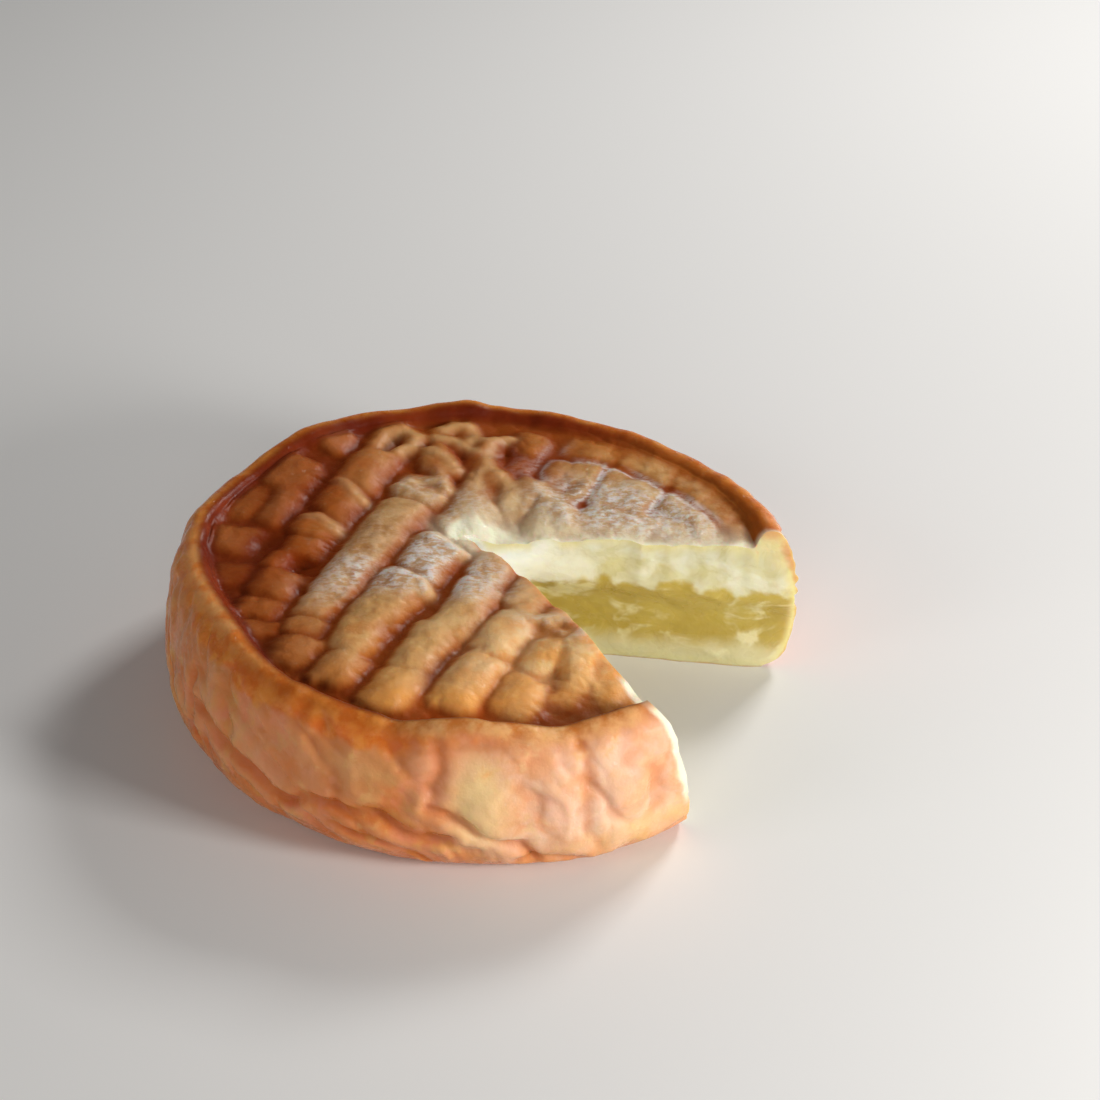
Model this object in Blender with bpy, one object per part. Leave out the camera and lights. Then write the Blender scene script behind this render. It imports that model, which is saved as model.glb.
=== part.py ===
"""A small soft washed-rind cheese: a low wheel with a raised rim, a ridged top and a wedge taken out."""
import bpy
import numpy as np

# ---------------------------------------------------------------- sizes, in millimetres
# The wheel stands on z = 0 with its middle near x = y = 0; -Y is its front, where the missing wedge opens.
RIDGE_DIR = 66.0            # direction the long ridges of the top run in, degrees
CUT_APEX = (-3.5, 11.5)     # where the two cuts meet
CUT_NEAR = -58.0            # direction of the cut nearer the front
CUT_FAR = -3.0              # direction of the cut farther back
TOP_MID = 23.4              # height of the groove floors at the middle
TOP_TILT = (-0.014, 0.034)  # how they climb along x and y
TOP_DISH = 0.00025          # and how they curl up towards the front and back
MOAT = 0.2                  # how much lower they are beside the rim
RIM_FOOT = 3.5              # from the rim's crest in to its foot
BULGE_Z = 12.0              # height of the widest part of the side
LIP_HALF = 2.6
OUTLINE = (  # direction, widest radius, radius at the foot, radius of the rim's crest
    (-180, 56.3, 54.0, 50.6), (-165, 55.6, 52.6, 47.7), (-150, 55.8, 52.2, 47.1), (-135, 55.6, 51.9, 49.1),
    (-120, 56.0, 51.8, 49.3), (-105, 56.1, 52.4, 49.5), (-90, 56.0, 52.9, 49.6), (-75, 56.1, 54.1, 50.8),
    (-60, 56.1, 54.8, 51.6), (-45, 56.0, 54.4, 51.6), (-30, 56.4, 53.8, 51.8), (-15, 57.0, 53.4, 52.4),
    (0, 57.2, 53.2, 53.0), (15, 56.6, 52.8, 52.6), (30, 55.3, 52.2, 50.9), (45, 54.6, 51.8, 50.3),
    (60, 54.2, 51.6, 50.6), (75, 54.2, 51.6, 51.2), (90, 54.6, 52.0, 51.8), (105, 55.0, 52.6, 52.2),
    (120, 55.8, 53.0, 52.8), (135, 56.2, 53.4, 53.0), (150, 56.4, 53.6, 53.2), (165, 56.6, 53.8, 53.0),
)
CREST = (  # direction, height of the rim's crest
    (-178, 27.5), (-170, 27.6), (-156, 28.3), (-141, 28.3), (-129, 28.0), (-119, 27.9), (-111, 27.0),
    (-106, 26.4), (-99, 27.8), (-91, 28.6), (-85, 28.1), (-78, 26.8), (-74, 26.1), (-69, 27.0), (-62, 27.3),
    (-50, 27.3), (0, 27.5), (9, 27.8), (19, 28.1), (31, 28.0), (36, 27.6), (45, 27.5), (60, 27.5), (70, 27.4),
    (77, 28.0), (83, 27.6), (89, 28.3), (94, 29.5), (99, 29.2), (105, 28.2), (111, 28.7), (118, 29.2),
    (129, 29.6), (136, 28.8), (145, 27.0), (150, 27.1), (156, 27.3), (162, 27.7), (172, 27.6),
)
# Pads between the grooves of the top: across the ridges, along them, half width, half length, height,
# slope of the cross edges, turn in degrees
PADS = (
    (-46.8, 24.8, 3.4, 2.8, 1.3, 0.0, 0), (-41.2, 25.4, 4.6, 4.0, 2.0, -0.35, 0),
    (-43.8, 12.1, 6.4, 5.6, 1.9, -0.25, 0), (-47.0, 1.9, 3.4, 5.4, 1.5, 0.0, 0), (-41.1, 3.0, 3.9, 6.2, 1.9, -0.4, 0),
    (-44.4, -9.8, 6.4, 4.8, 1.6, 0.15, 0), (-39.6, -19.4, 4.4, 3.8, 1.3, 0.3, 0),
    (-41.9, 34.1, 4.0, 3.4, 1.1, -0.4, 0), (-31.7, 19.7, 5.3, 6.9, 2.6, -0.15, 0),
    (-31.6, 8.1, 5.4, 5.6, 2.6, -0.42, 0), (-31.6, -0.9, 5.5, 3.7, 2.5, -0.1, 0),
    (-31.2, -7.3, 5.0, 3.6, 2.0, 0.1, 0), (-33.5, -12.4, 3.0, 3.2, 1.8, 0.0, 0),
    (-30.4, -18.5, 5.2, 4.8, 2.0, 0.1, 0), (-29.8, -26.3, 4.8, 3.2, 1.7, 0.1, 0),
    (-26.9, -31.6, 4.4, 2.6, 1.4, 0.25, 0), (-20.6, 27.1, 5.2, 4.8, 2.5, -0.7, 0),
    (-20.0, 17.5, 5.8, 4.6, 2.3, -0.1, 0), (-20.2, 4.1, 5.6, 9.4, 2.8, -0.12, 0),
    (-20.1, -10.9, 5.2, 8.8, 2.7, 0.0, 0), (-20.3, -21.9, 4.8, 4.0, 2.2, 0.08, 0),
    (-19.7, -28.2, 4.5, 2.8, 2.0, 0.15, 0), (-18.3, -34.7, 5.2, 4.2, 1.9, 0.2, 0),
    (-8.3, 13.9, 6.4, 7.2, 2.5, -0.55, 0), (-9.2, -0.2, 5.9, 6.1, 2.6, -0.33, 0),
    (-10.2, -14.3, 5.7, 8.6, 2.8, -0.15, 0), (-10.2, -26.0, 5.2, 6.4, 2.6, 0.0, 0),
    (-8.9, -36.0, 4.7, 4.9, 2.3, 0.05, 0), (2.4, 0.2, 5.2, 5.2, 2.1, -0.55, 0), (3.1, -11.4, 5.0, 8.4, 2.7, -0.2, 0),
    (1.7, -24.7, 4.9, 7.8, 2.6, 0.05, 0), (2.0, -37.5, 5.2, 6.2, 2.4, 0.08, 0), (11.6, -4.2, 4.8, 5.8, 2.1, -0.62, 0),
    (12.1, -16.9, 4.9, 6.4, 2.6, 0.05, 0), (12.5, -30.7, 5.1, 7.8, 2.8, 0.0, 0), (20.2, -8.6, 4.2, 4.4, 1.7, -0.62, 0),
    (21.2, -19.0, 3.8, 4.8, 2.1, 0.0, 0), (27.6, -16.8, 4.8, 7.0, 2.2, -0.55, 0),
    (22.1, -30.6, 4.8, 5.4, 2.2, -0.1, 0), (28.5, -26.5, 3.4, 3.8, 1.5, 0.0, 0),
    (34.6, -20.4, 4.8, 5.8, 1.6, -0.62, 0), (41.0, -24.6, 4.2, 4.0, 1.2, -0.6, 0),    (-1.8, 23.0, 3.8, 6.6, 2.1, -0.3, 0), (4.9, 18.6, 5.0, 5.8, 2.2, -0.5, 0),
    (-7.9, 39.9, 4.4, 4.4, 1.7, -0.2, 0), (-6.5, 33.4, 3.6, 4.0, 1.2, 0.0, 0), (-9.8, 22.6, 5.0, 4.6, 2.1, -0.5, 0),
    (-14.9, 29.9, 2.6, 4.6, 1.2, 0.0, 0),
)
# Broad flat pads with narrow grooves between them, same columns
FLATS = (
    (0.2, 34.4, 3.4, 3.8, 1.3, -0.2, 0), (4.9, 33.2, 3.9, 5.4, 1.2, -0.2, 0), (3.2, 27.5, 5.4, 4.4, 1.0, -0.3, 0),
    (15.1, 32.8, 6.1, 5.9, 0.95, -0.15, 0), (16.6, 21.4, 7.1, 6.6, 1.1, -0.2, 0), (31.2, 27.0, 9.1, 7.5, 0.9, -0.52, 0),
    (3.2, 41.9, 5.9, 4.3, 1.0, -0.1, 0), (15.4, 41.8, 6.1, 4.2, 0.85, -0.3, 0), (30.4, 36.4, 9.2, 3.7, 0.75, -0.62, 0),
)
FLAT_EDGE = 2.7             # how far in from their outline they round over
# Narrow creases across the flat pads: depth, half width, and the way each runs as (across, along) pairs
SEAMS = (
    (0.45, 1.3, ((-1.0, 38.6), (4.5, 39.3), (9.8, 39.8), (15.0, 38.4), (18.6, 36.6), (25.0, 34.6), (31.5, 31.2), (38.5, 26.2))),
    (0.35, 0.9, ((9.4, 25.6), (13.5, 26.8), (18.0, 26.2), (21.6, 24.6))),
    (0.3, 0.9, ((23.5, 28.4), (28.0, 27.2), (33.0, 23.4))),
)
# Sharp folds of skin on the top: height, half width, and the way each runs as (across, along) pairs
FOLDS = (
    (2.2, 2.4, ((-12.6, 40.6), (-14.5, 38.7), (-15.9, 37.4), (-17.9, 37.2))),
    (2.8, 4.2, ((-14.9, 36.2), (-13.9, 32.1), (-12.0, 29.0), (-8.6, 27.0))), (2.5, 3.6, ((-8.6, 27.0), (-5.4, 24.6), (-3.4, 21.0))), (2.4, 3.0, ((-12.0, 29.0), (-12.8, 25.4), (-11.0, 22.0))),
    (2.2, 2.8, ((-25.4, 37.8), (-23.7, 40.1), (-21.5, 40.9), (-19.7, 39.0), (-19.0, 36.1))),
    (2.0, 2.8, ((-25.4, 34.5), (-21.8, 35.2), (-18.6, 33.9), (-16.0, 33.0))),
    (2.5, 3.4, ((-34.1, 27.6), (-34.3, 31.8), (-32.1, 34.3), (-29.0, 33.5), (-28.1, 29.8), (-29.4, 27.1))),
    (2.7, 2.4, ((-24.2, 16.9), (-21.8, 15.6), (-18.9, 15.0), (-15.9, 16.3))),
    (2.6, 2.6, ((-22.9, 18.5), (-19.9, 20.5), (-17.4, 21.2), (-15.4, 19.0))),
    (2.8, 3.0, ((-24.0, 29.6), (-20.9, 28.6), (-17.0, 25.9))),
    (2.3, 3.6, ((-1.4, 26.9), (1.5, 25.2), (4.4, 23.0), (7.6, 21.0), (8.8, 18.0))),
    (2.75, 2.2, ((-12.4, 4.8), (-8.8, 3.8), (-5.0, 2.0))),
    (2.8, 2.2, ((-13.4, -8.4), (-10.7, -7.7), (-7.4, -8.4), (-5.0, -10.7))),
    (2.7, 2.2, ((-34.8, 13.4), (-30.8, 11.0), (-28.2, 9.7))),
    (2.5, 2.2, ((-35.1, 0.9), (-32.3, 1.2), (-28.2, -0.5))),
    (2.1, 1.8, ((24.2, -15.0), (26.5, -19.2), (28.0, -24.1))),
    (2.0, 2.2, ((9.9, -10.5), (15.2, -9.7), (19.3, -8.8))),
)
# Pinches and hollows in the pads: across, along, half width, half length, depth, turn
HOLLOWS = (
    (-32.0, 31.1, 1.8, 2.8, 1.5, 0), (-31.1, 28.3, 1.2, 2.0, 1.0, -20), (-20.0, 19.8, 2.4, 1.2, 1.5, -15),
    (-29.3, -11.7, 2.4, 3.0, 1.5, 20), (24.2, -23.5, 1.0, 2.2, 1.3, -25), (26.1, -26.4, 1.6, 1.6, 1.1, 0),
    (21.2, -10.2, 1.6, 1.8, 1.3, 0), (21.1, -33.3, 1.8, 1.3, 0.6, 0), (-19.7, 38.5, 1.2, 1.8, 1.0, 0),
    (-11.4, 35.7, 1.8, 2.4, 0.9, -25), (-8.1, 23.3, 1.8, 1.3, 0.5, -30), (-12.9, 33.4, 1.2, 2.8, 0.8, -20),
    (-36.9, 25.9, 1.4, 3.0, 0.8, 0), (-46.4, 30.2, 1.4, 1.4, 1.0, 0), (28.5, -30.9, 1.8, 2.0, 1.0, 0),
    (-38.7, -8.6, 2.2, 3.4, 1.3, 0), (9.4, -21.9, 2.2, 0.8, 1.0, 8), (-0.8, 18.6, 1.6, 3.0, 0.5, 30),
    (4.1, 30.2, 1.6, 2.2, 0.6, 0), (-25.1, -19.0, 1.4, 1.2, 0.8, 0), (31.1, -18.3, 1.2, 2.0, 0.7, 20),
)
# Where the groove floors stand higher: x, y, reach, rise
RAISED = ((30.0, 18.0, 17.0, 1.65), (24.0, 27.0, 14.0, 0.35), (44.0, 16.0, 8.0, 1.5), (40.0, 27.0, 8.0, 0.9), (26.0, 40.0, 10.0, 0.9), (-32.0, 38.0, 9.0, 1.3), (17.0, -17.0, 9.0, 0.9), (19.0, -25.0, 8.0, 0.9), (47.0, 9.0, 5.0, 1.2))
# Creases round the side: depth, half width, and the way each runs as (direction, height) pairs
CREASES = (
    (1.0, 1.1, ((-150, 15.5), (-145, 15.5), (-141, 13.5), (-136, 12.2), (-131, 11.2), (-127, 9.4), (-124, 9.6))),
    (0.9, 1.0, ((-124, 9.6), (-121, 12.0), (-113, 12.4), (-106, 12.0), (-103, 9.6), (-99, 8.4), (-95, 8.8))),
    (0.8, 0.9, ((-98, 15.0), (-95, 14.4), (-92, 12.0), (-89, 9.8), (-85, 8.3), (-82, 7.2), (-80.5, 4.0))),
    (0.6, 0.9, ((-126, 9.0), (-127, 5.0), (-126, 1.0))),
    (0.7, 0.9, ((-83, 3.2), (-78, 3.6), (-72, 2.0))),
    (0.5, 1.2, ((-97, 27.0), (-96.5, 22.0), (-97.5, 17.0))),
    (0.6, 1.4, ((-71.5, 25.0), (-70.5, 18.0), (-71.5, 10.0), (-69.0, 5.0))),
    (0.9, 0.7, ((-74.0, 29.0), (-72.8, 26.5), (-71.5, 24.5))),
    (0.8, 0.9, ((-154, 20.0), (-150.5, 9.0), (-149, 0.0))),
    (0.5, 1.3, ((-143, 25.0), (-141, 20.0), (-139, 16.0))),
    (0.4, 1.2, ((-119, 22.0), (-115, 17.0), (-114.5, 13.0))),
    (0.8, 1.1, ((-178, 24.0), (-171, 17.0), (-166, 12.5), (-158, 9.5), (-152, 9.0))),
    (0.7, 1.1, ((16, 12.0), (24, 10.0), (33, 13.0), (44, 12.0), (52, 8.5), (60, 9.5))),
    (0.8, 1.0, ((62, 16.0), (70, 13.0), (79, 13.5), (88, 10.0), (97, 9.0))),
    (0.7, 1.0, ((92, 18.0), (103, 15.5), (112, 16.5), (123, 12.5), (134, 11.0), (142, 12.5))),
    (0.7, 0.9, ((128, 6.5), (140, 5.5), (150, 7.5), (160, 6.0))),
    (0.6, 1.1, ((152, 21.0), (161, 16.5), (170, 15.5), (179, 12.5))),
    (0.6, 0.9, ((38, 22.0), (40, 17.0), (38, 12.5))),
    (0.6, 1.0, ((84, 24.0), (86, 19.0), (83, 14.0))),
    (0.5, 0.9, ((118, 24.0), (121, 19.0), (120, 14.0))),
    (0.5, 0.9, ((30, 5.5), (38, 4.0), (48, 5.0), (58, 3.5))),
)
# Broad swellings of the side: direction, height, half width in degrees, half height, how far they stand out
SWELLINGS = (
    (-87, 15.0, 4.5, 8.0, 0.9), (-76, 15.5, 3.6, 9.0, 1.1), (-64, 14.0, 5.0, 8.5, 0.9), (-99, 22.0, 4.0, 5.0, 0.5),
    (-109, 18.0, 5.0, 5.0, 0.6), (-121, 17.5, 5.0, 5.5, 0.6), (-113, 6.5, 8.0, 4.0, 0.9), (-93, 5.5, 7.0, 3.5, 0.7),
    (-133, 19.0, 5.0, 5.0, 0.6), (-138, 7.5, 7.0, 4.2, 0.4), (-146, 21.0, 5.5, 5.0, 0.6), (-158, 16.0, 5.0, 6.0, 0.4),
    (-72, 4.0, 6.0, 3.2, 0.6), (-166, 6.5, 7.0, 4.0, 0.1), (-172, 21.0, 6.0, 5.0, 0.6), (22, 17.0, 7.0, 5.0, 0.7),
    (36, 7.0, 8.0, 4.0, 0.8), (47, 18.0, 6.0, 5.5, 0.8), (64, 7.0, 7.0, 4.2, 0.7), (74, 19.0, 6.0, 5.0, 0.7),
    (90, 15.5, 6.0, 4.5, 0.6), (108, 8.0, 8.0, 4.5, 0.9), (112, 21.0, 6.0, 4.0, 0.5), (130, 18.0, 6.5, 5.5, 0.8),
    (147, 8.0, 7.0, 4.0, 0.7), (160, 22.0, 5.0, 4.0, 0.5), (168, 10.0, 6.0, 4.5, 0.7),
)


# ---------------------------------------------------------------- small tools
def around(table, column, blur=4.0):
    """One column of a table of directions as a smooth closed curve of 720 samples."""
    rows = sorted(table)
    angles = np.array([r[0] for r in rows] + [rows[0][0] + 360.0])
    values = np.array([r[column] for r in rows] + [rows[0][column]], float)
    step = 0.5
    grid = np.arange(720) * step - 180.0
    grid = np.where(grid < angles[0], grid + 360.0, grid)
    raw = np.interp(grid, angles, values)
    freq = np.fft.rfftfreq(720, step)
    return np.fft.irfft(np.fft.rfft(raw) * np.exp(-2 * (np.pi * freq * blur) ** 2), 720)


R_WIDE, R_FOOT, R_CREST = (around(OUTLINE, c, 5.0) for c in (1, 2, 3))
Z_CREST = around(CREST, 1, 1.8)


def at(samples, theta):
    """Value of a closed curve in a direction given in radians."""
    place = (np.degrees(theta) + 180.0) % 360.0 / 0.5
    low = np.floor(place).astype(int)
    part = place - low
    return samples[low % 720] * (1 - part) + samples[(low + 1) % 720] * part


def smooth(t):
    t = np.clip(t, 0.0, 1.0)
    return t * t * (3 - 2 * t)


def smax(a, b, k):
    h = np.clip(0.5 + 0.5 * (a - b) / k, 0, 1)
    return b * (1 - h) + a * h + k * h * (1 - h)


def corner(i, j, k, seed):
    """Three repeatable numbers from -1 to 1 for each whole-numbered corner."""
    h = (i.astype(np.int64) * 374761393 + j.astype(np.int64) * 668265263 + k.astype(np.int64) * 1440662683
         + seed * 1274126177) & 0xFFFFFFFF
    out = []
    for _ in range(3):
        h = ((h ^ (h >> 15)) * 739982445) & 0xFFFFFFFF
        h = ((h ^ (h >> 13)) * 695872825) & 0xFFFFFFFF
        h = h ^ (h >> 16)
        out.append((h & 0xFFFF) / 32767.5 - 1.0)
    return out


def noise(x, y, z, seed=0):
    """Smooth gradient noise, about -1 to 1, with lumps about one unit across."""
    x, y, z = np.broadcast_arrays(*(np.asarray(c, float) for c in (x, y, z)))
    i, j, k = np.floor(x), np.floor(y), np.floor(z)
    fx, fy, fz = x - i, y - j, z - k
    ux, uy, uz = (f * f * f * (f * (f * 6 - 15) + 10) for f in (fx, fy, fz))
    total = 0.0
    for a in (0, 1):
        for b in (0, 1):
            for c in (0, 1):
                gx, gy, gz = corner(i + a, j + b, k + c, seed)
                dot = gx * (fx - a) + gy * (fy - b) + gz * (fz - c)
                total = total + dot * (ux if a else 1 - ux) * (uy if b else 1 - uy) * (uz if c else 1 - uz)
    return total * 1.35


def fbm(x, y, z, octaves=3, seed=0, gain=0.5):
    total, size, amp = 0.0, 1.0, 1.0
    for o in range(octaves):
        total = total + amp * noise(x * size + 7.3 * o, y * size - 3.1 * o, z * size + 1.7 * o, seed + o)
        size *= 2.03
        amp *= gain
    return total


# ---------------------------------------------------------------- the top
def ridge_frame(x, y):
    """Distance across the long ridges and along them."""
    a = np.radians(RIDGE_DIR)
    return x * np.sin(a) - y * np.cos(a), x * np.cos(a) + y * np.sin(a)


def way_distance(x, y, way):
    """Distance to a line of straight pieces."""
    near = np.full(np.broadcast(x, y).shape, 1e9)
    for (x0, y0), (x1, y1) in zip(way[:-1], way[1:]):
        px, py, bx, by = x - x0, y - y0, x1 - x0, y1 - y0
        t = np.clip((px * bx + py * by) / (bx * bx + by * by), 0, 1)
        near = np.minimum(near, np.hypot(px - t * bx, py - t * by))
    return near


def pillows(x, y):
    """Height of the ridges above the groove floors."""
    w, v = ridge_frame(x, y)
    w, v = (w + 0.8 + 0.5 * noise(w / 13.0, v / 9.0, 0.0, 11) + 0.5 * noise(w / 5.0, v / 5.5, 2.0, 13) + 0.3 * noise(w / 2.4, v / 2.6, 2.0, 15),
            v + 0.8 * noise(w / 8.0, v / 12.0, 5.0, 12) + 0.6 * noise(w / 4.0, v / 5.0, 7.0, 14) + 0.3 * noise(w / 2.2, v / 2.8, 4.0, 16))
    top = np.zeros_like(w)
    for k, (pw, pv, half_w, half_v, height, slope, turn) in enumerate(PADS + FLATS):
        c, s = np.cos(np.radians(turn)), np.sin(np.radians(turn))
        dw, dv = (w - pw) * c + (v - pv) * s, -(w - pw) * s + (v - pv) * c
        dv = dv - slope * dw
        edge_w, edge_v = (0.85 * half_w, min(3.6, 0.8 * half_v)) if k < len(PADS) else (FLAT_EDGE, FLAT_EDGE)
        across = np.clip(1 - (half_w * 1.11 - np.abs(dw)) / edge_w, 0, 2)
        along = np.clip(1 - (half_v + 0.34 * edge_v - np.abs(dv)) / edge_v, 0, 2)
        edge = np.clip((across ** 2.2 + along ** 2.2) ** (1 / 2.2), 0, 1)
        crown = 1 - 0.16 * (dw / half_w) ** 2 - 0.10 * (dv / half_v) ** 2
        top = smax(top, height * (1 - edge ** 2.1) * crown, 0.4)
    for height, half, way in FOLDS:
        fold = 0.94 * height * (1 - smooth(np.clip(way_distance(w, v, way) / (1.25 * half), 0, 1)))
        blend = smooth(fold / (0.5 * height)) * np.maximum(1.2 - np.abs(top - fold), 0.0) ** 2 / 4.8
        top = np.maximum(top, fold) + blend
    for depth, half, way in SEAMS:
        top = top - depth * np.exp(-(way_distance(w, v, way) / half) ** 2)
    for hw, hv, half_w, half_v, depth, turn in HOLLOWS:
        c, s = np.cos(np.radians(turn)), np.sin(np.radians(turn))
        dw, dv = (w - hw) * c + (v - hv) * s, -(w - hw) * s + (v - hv) * c
        top = top - 0.8 * depth * np.exp(-((dw / half_w) ** 2) - (dv / half_v) ** 2)
    return top


def puckers(x, y):
    """Fine creases that cross the ridges, and small puffs of the skin."""
    w, v = ridge_frame(x, y)
    line = noise(w / 6.5 + 0.25 * noise(w / 3.0, v / 3.0, 9.0, 47), v / 2.6, 4.0, 45)
    where = smooth(0.5 + 1.2 * noise(w / 11.0, v / 11.0, 6.0, 46))
    crease = np.exp(-(line / 0.10) ** 2) * where
    return 0.30 * noise(x / 5.0, y / 5.0, 0.0, 41) + 0.15 * noise(x / 2.7, y / 2.7, 1.0, 42) \
        + 0.07 * noise(x / 1.4, y / 1.4, 3.0, 44) - 0.20 * crease


def cut_distance(x, y, far):
    """How far a place on the wheel is behind a cut, and how far along it from the apex."""
    a = np.radians(CUT_FAR if far else CUT_NEAR)
    dx, dy = x - CUT_APEX[0], y - CUT_APEX[1]
    off = -dx * np.sin(a) + dy * np.cos(a)
    return (off if far else -off), dx * np.cos(a) + dy * np.sin(a)


def droop(x, y):
    """Beside the cuts the ridges flatten and the skin rolls over into the gap: a factor for the ridges, and a drop."""
    keep, drop = 1.0, 0.0
    for far, depth, reach, flatten in ((True, 0.4, 3.6, 0.5), (False, 0.0, 1.6, 0.0)):
        off, along = cut_distance(x, y, far)
        near = np.hypot(off, np.minimum(along, 0.0))
        keep = keep * (1 - flatten * (1 - smooth(near / (reach * 2.0))))
        drop = drop + depth * (1 - smooth(near / reach)) ** 1.5
    return keep, drop


def floor_height(x, y):
    base = TOP_MID + TOP_TILT[0] * x + TOP_TILT[1] * y + TOP_DISH * y * y + 0.3 * noise(x / 17, y / 17, 1.0, 21)
    for cx, cy, reach, rise in RAISED:
        base = base + rise * np.exp(-((x - cx) ** 2 + (y - cy) ** 2) / reach ** 2)
    return base


# ---------------------------------------------------------------- the side
def side_relief(th, z):
    """How far the side stands out from its smooth form."""
    deg = np.degrees(th)
    arc = 0.95                                   # millimetres of side to a degree
    out = np.zeros(np.broadcast(deg, z).shape)
    for d0, z0, half_d, half_z, rise in SWELLINGS:
        dd = (deg - d0 + 180) % 360 - 180
        out = out + rise * np.exp(-np.abs(dd / half_d) ** 2.4 - np.abs((z - z0) / half_z) ** 2.4)
    cx, cy = np.cos(th), np.sin(th)
    wob_d = deg + 1.6 * noise(cx * 8, cy * 8, z / 5.0, 51)
    wob_z = z + 0.9 * noise(cx * 9, cy * 9, z / 5.0, 52)
    for depth, half, way in CREASES:
        mid = way[len(way) // 2][0]
        near = way_distance(((wob_d - mid + 180) % 360 - 180) * arc, wob_z, [((a - mid) * arc, h) for a, h in way])
        out = out - depth * np.exp(-(near / half) ** 2)
        out = out + 0.35 * depth * np.exp(-((near - 2.3 * half) / (1.3 * half)) ** 2)
    return out


def folds(th, z):
    """Puffy folds with soft creases between them, that lean over as they go round the side."""
    deg = np.degrees(th)
    lean = 0.030 - 0.026 * smooth((deg + 104) / 20.0) * smooth((-40 - deg) / 20.0)
    a = th + lean * (z - 14.0)
    a = a + 0.03 * noise(np.cos(th) * 9, np.sin(th) * 9, z / 5.0, 65)
    long = noise(np.cos(a) * 5.6, np.sin(a) * 5.6, z / 12.0, 66)
    short = noise(np.cos(a) * 10.5, np.sin(a) * 10.5, z / 7.0, 67)
    deep = 0.25 + 0.75 * smooth(0.5 + 1.1 * noise(np.cos(th) * 4, np.sin(th) * 4, z / 9.0, 68))
    return deep * (0.6 * long - 0.85 * np.exp(-(long / 0.13) ** 2) - 0.35 * np.exp(-(short / 0.12) ** 2) + 0.35)


# ---------------------------------------------------------------- the whole outside
STEP = 0.5                  # spacing of the samples down a profile
N_TOP, N_WALL, N_CREST, N_SHOULDER, N_SIDE, N_BASE = 96, 9, 5, 8, 52, 24


def profile(th):
    """Radius and height down the outside in each direction, from the middle of the top to under the foot, with
    its corners rounded, and the same without the ridges. Rows run down the profile, columns round the wheel."""
    wide, foot, rim, crest = at(R_WIDE, th), at(R_FOOT, th), at(R_CREST, th), at(Z_CREST, th)
    c, s = np.cos(th), np.sin(th)
    ones = np.ones_like(th)
    inner = rim - RIM_FOOT + 0.5 * noise(c * 5, s * 5, 0.0, 31)
    u = np.linspace(0, 1, N_TOP + 1)[:, None]
    r1 = u * inner
    z1 = floor_height(r1 * c, r1 * s) - MOAT * smooth((r1 - inner + 8.0) / 8.0)
    z_moat = z1[-1]
    top_z = crest + 0.2 * noise(c * 9, s * 9, 2.0, 33)
    u = np.linspace(0, 1, N_WALL + 1)[1:, None]
    r2, z2 = inner + u * (rim - 1.5 - inner), z_moat + u * (top_z - 0.1 - z_moat)
    u = np.linspace(0, 1, N_CREST + 1)[1:, None]
    r3, z3 = rim - 1.5 + u * 2.6, top_z - 0.1 - 0.1 * u
    z_shoulder = crest - 3.0
    high = ((z_shoulder - BULGE_Z) / (crest - BULGE_Z)) ** 1.8
    r_shoulder = wide - (wide - rim - LIP_HALF) * high
    u = np.linspace(0, 1, N_SHOULDER + 1)[1:, None]
    r4, z4 = rim + 1.1 + u * (r_shoulder - rim - 1.1), top_z - 0.2 + u * (z_shoulder - top_z + 0.2)
    u = np.linspace(0, 1, N_SIDE + 1)[1:, None]
    z5 = z_shoulder * (1 - u) * ones
    low = np.clip((BULGE_Z - z5) / BULGE_Z, 0, 1) ** 2.3
    high = np.clip((z5 - BULGE_Z) / (crest - BULGE_Z), 0, 1) ** 1.8
    r5 = wide - (wide - foot) * low - (wide - rim - LIP_HALF) * high
    u = np.linspace(0, 1, N_BASE + 1)[1:, None]
    r6, z6 = foot - u * N_BASE * STEP, 0.0 * u * ones
    r = np.concatenate([r1, r2, r3, r4, r5, r6])
    z = np.concatenate([z1, z2, z3, z4, z5, z6])
    # round the corners: a blur down the profile, wider at the foot than at the rim
    n = len(r)
    place = np.arange(n) * STEP
    width = np.full(n, 0.9)
    base = N_TOP + N_WALL + N_CREST + N_SHOULDER + N_SIDE
    width += 1.5 * np.exp(-((np.arange(n) - base) * STEP / 7.0) ** 2)
    width[:N_TOP - 16] = 0.05
    ends = np.minimum(np.arange(n), n - 1 - np.arange(n)) * STEP
    width = np.minimum(width, 0.05 + ends / 3.0)
    kernel = np.exp(-0.5 * ((place[:, None] - place[None, :]) / width[:, None]) ** 2)
    kernel /= kernel.sum(1, keepdims=True)
    return kernel @ r, kernel @ z


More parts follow.
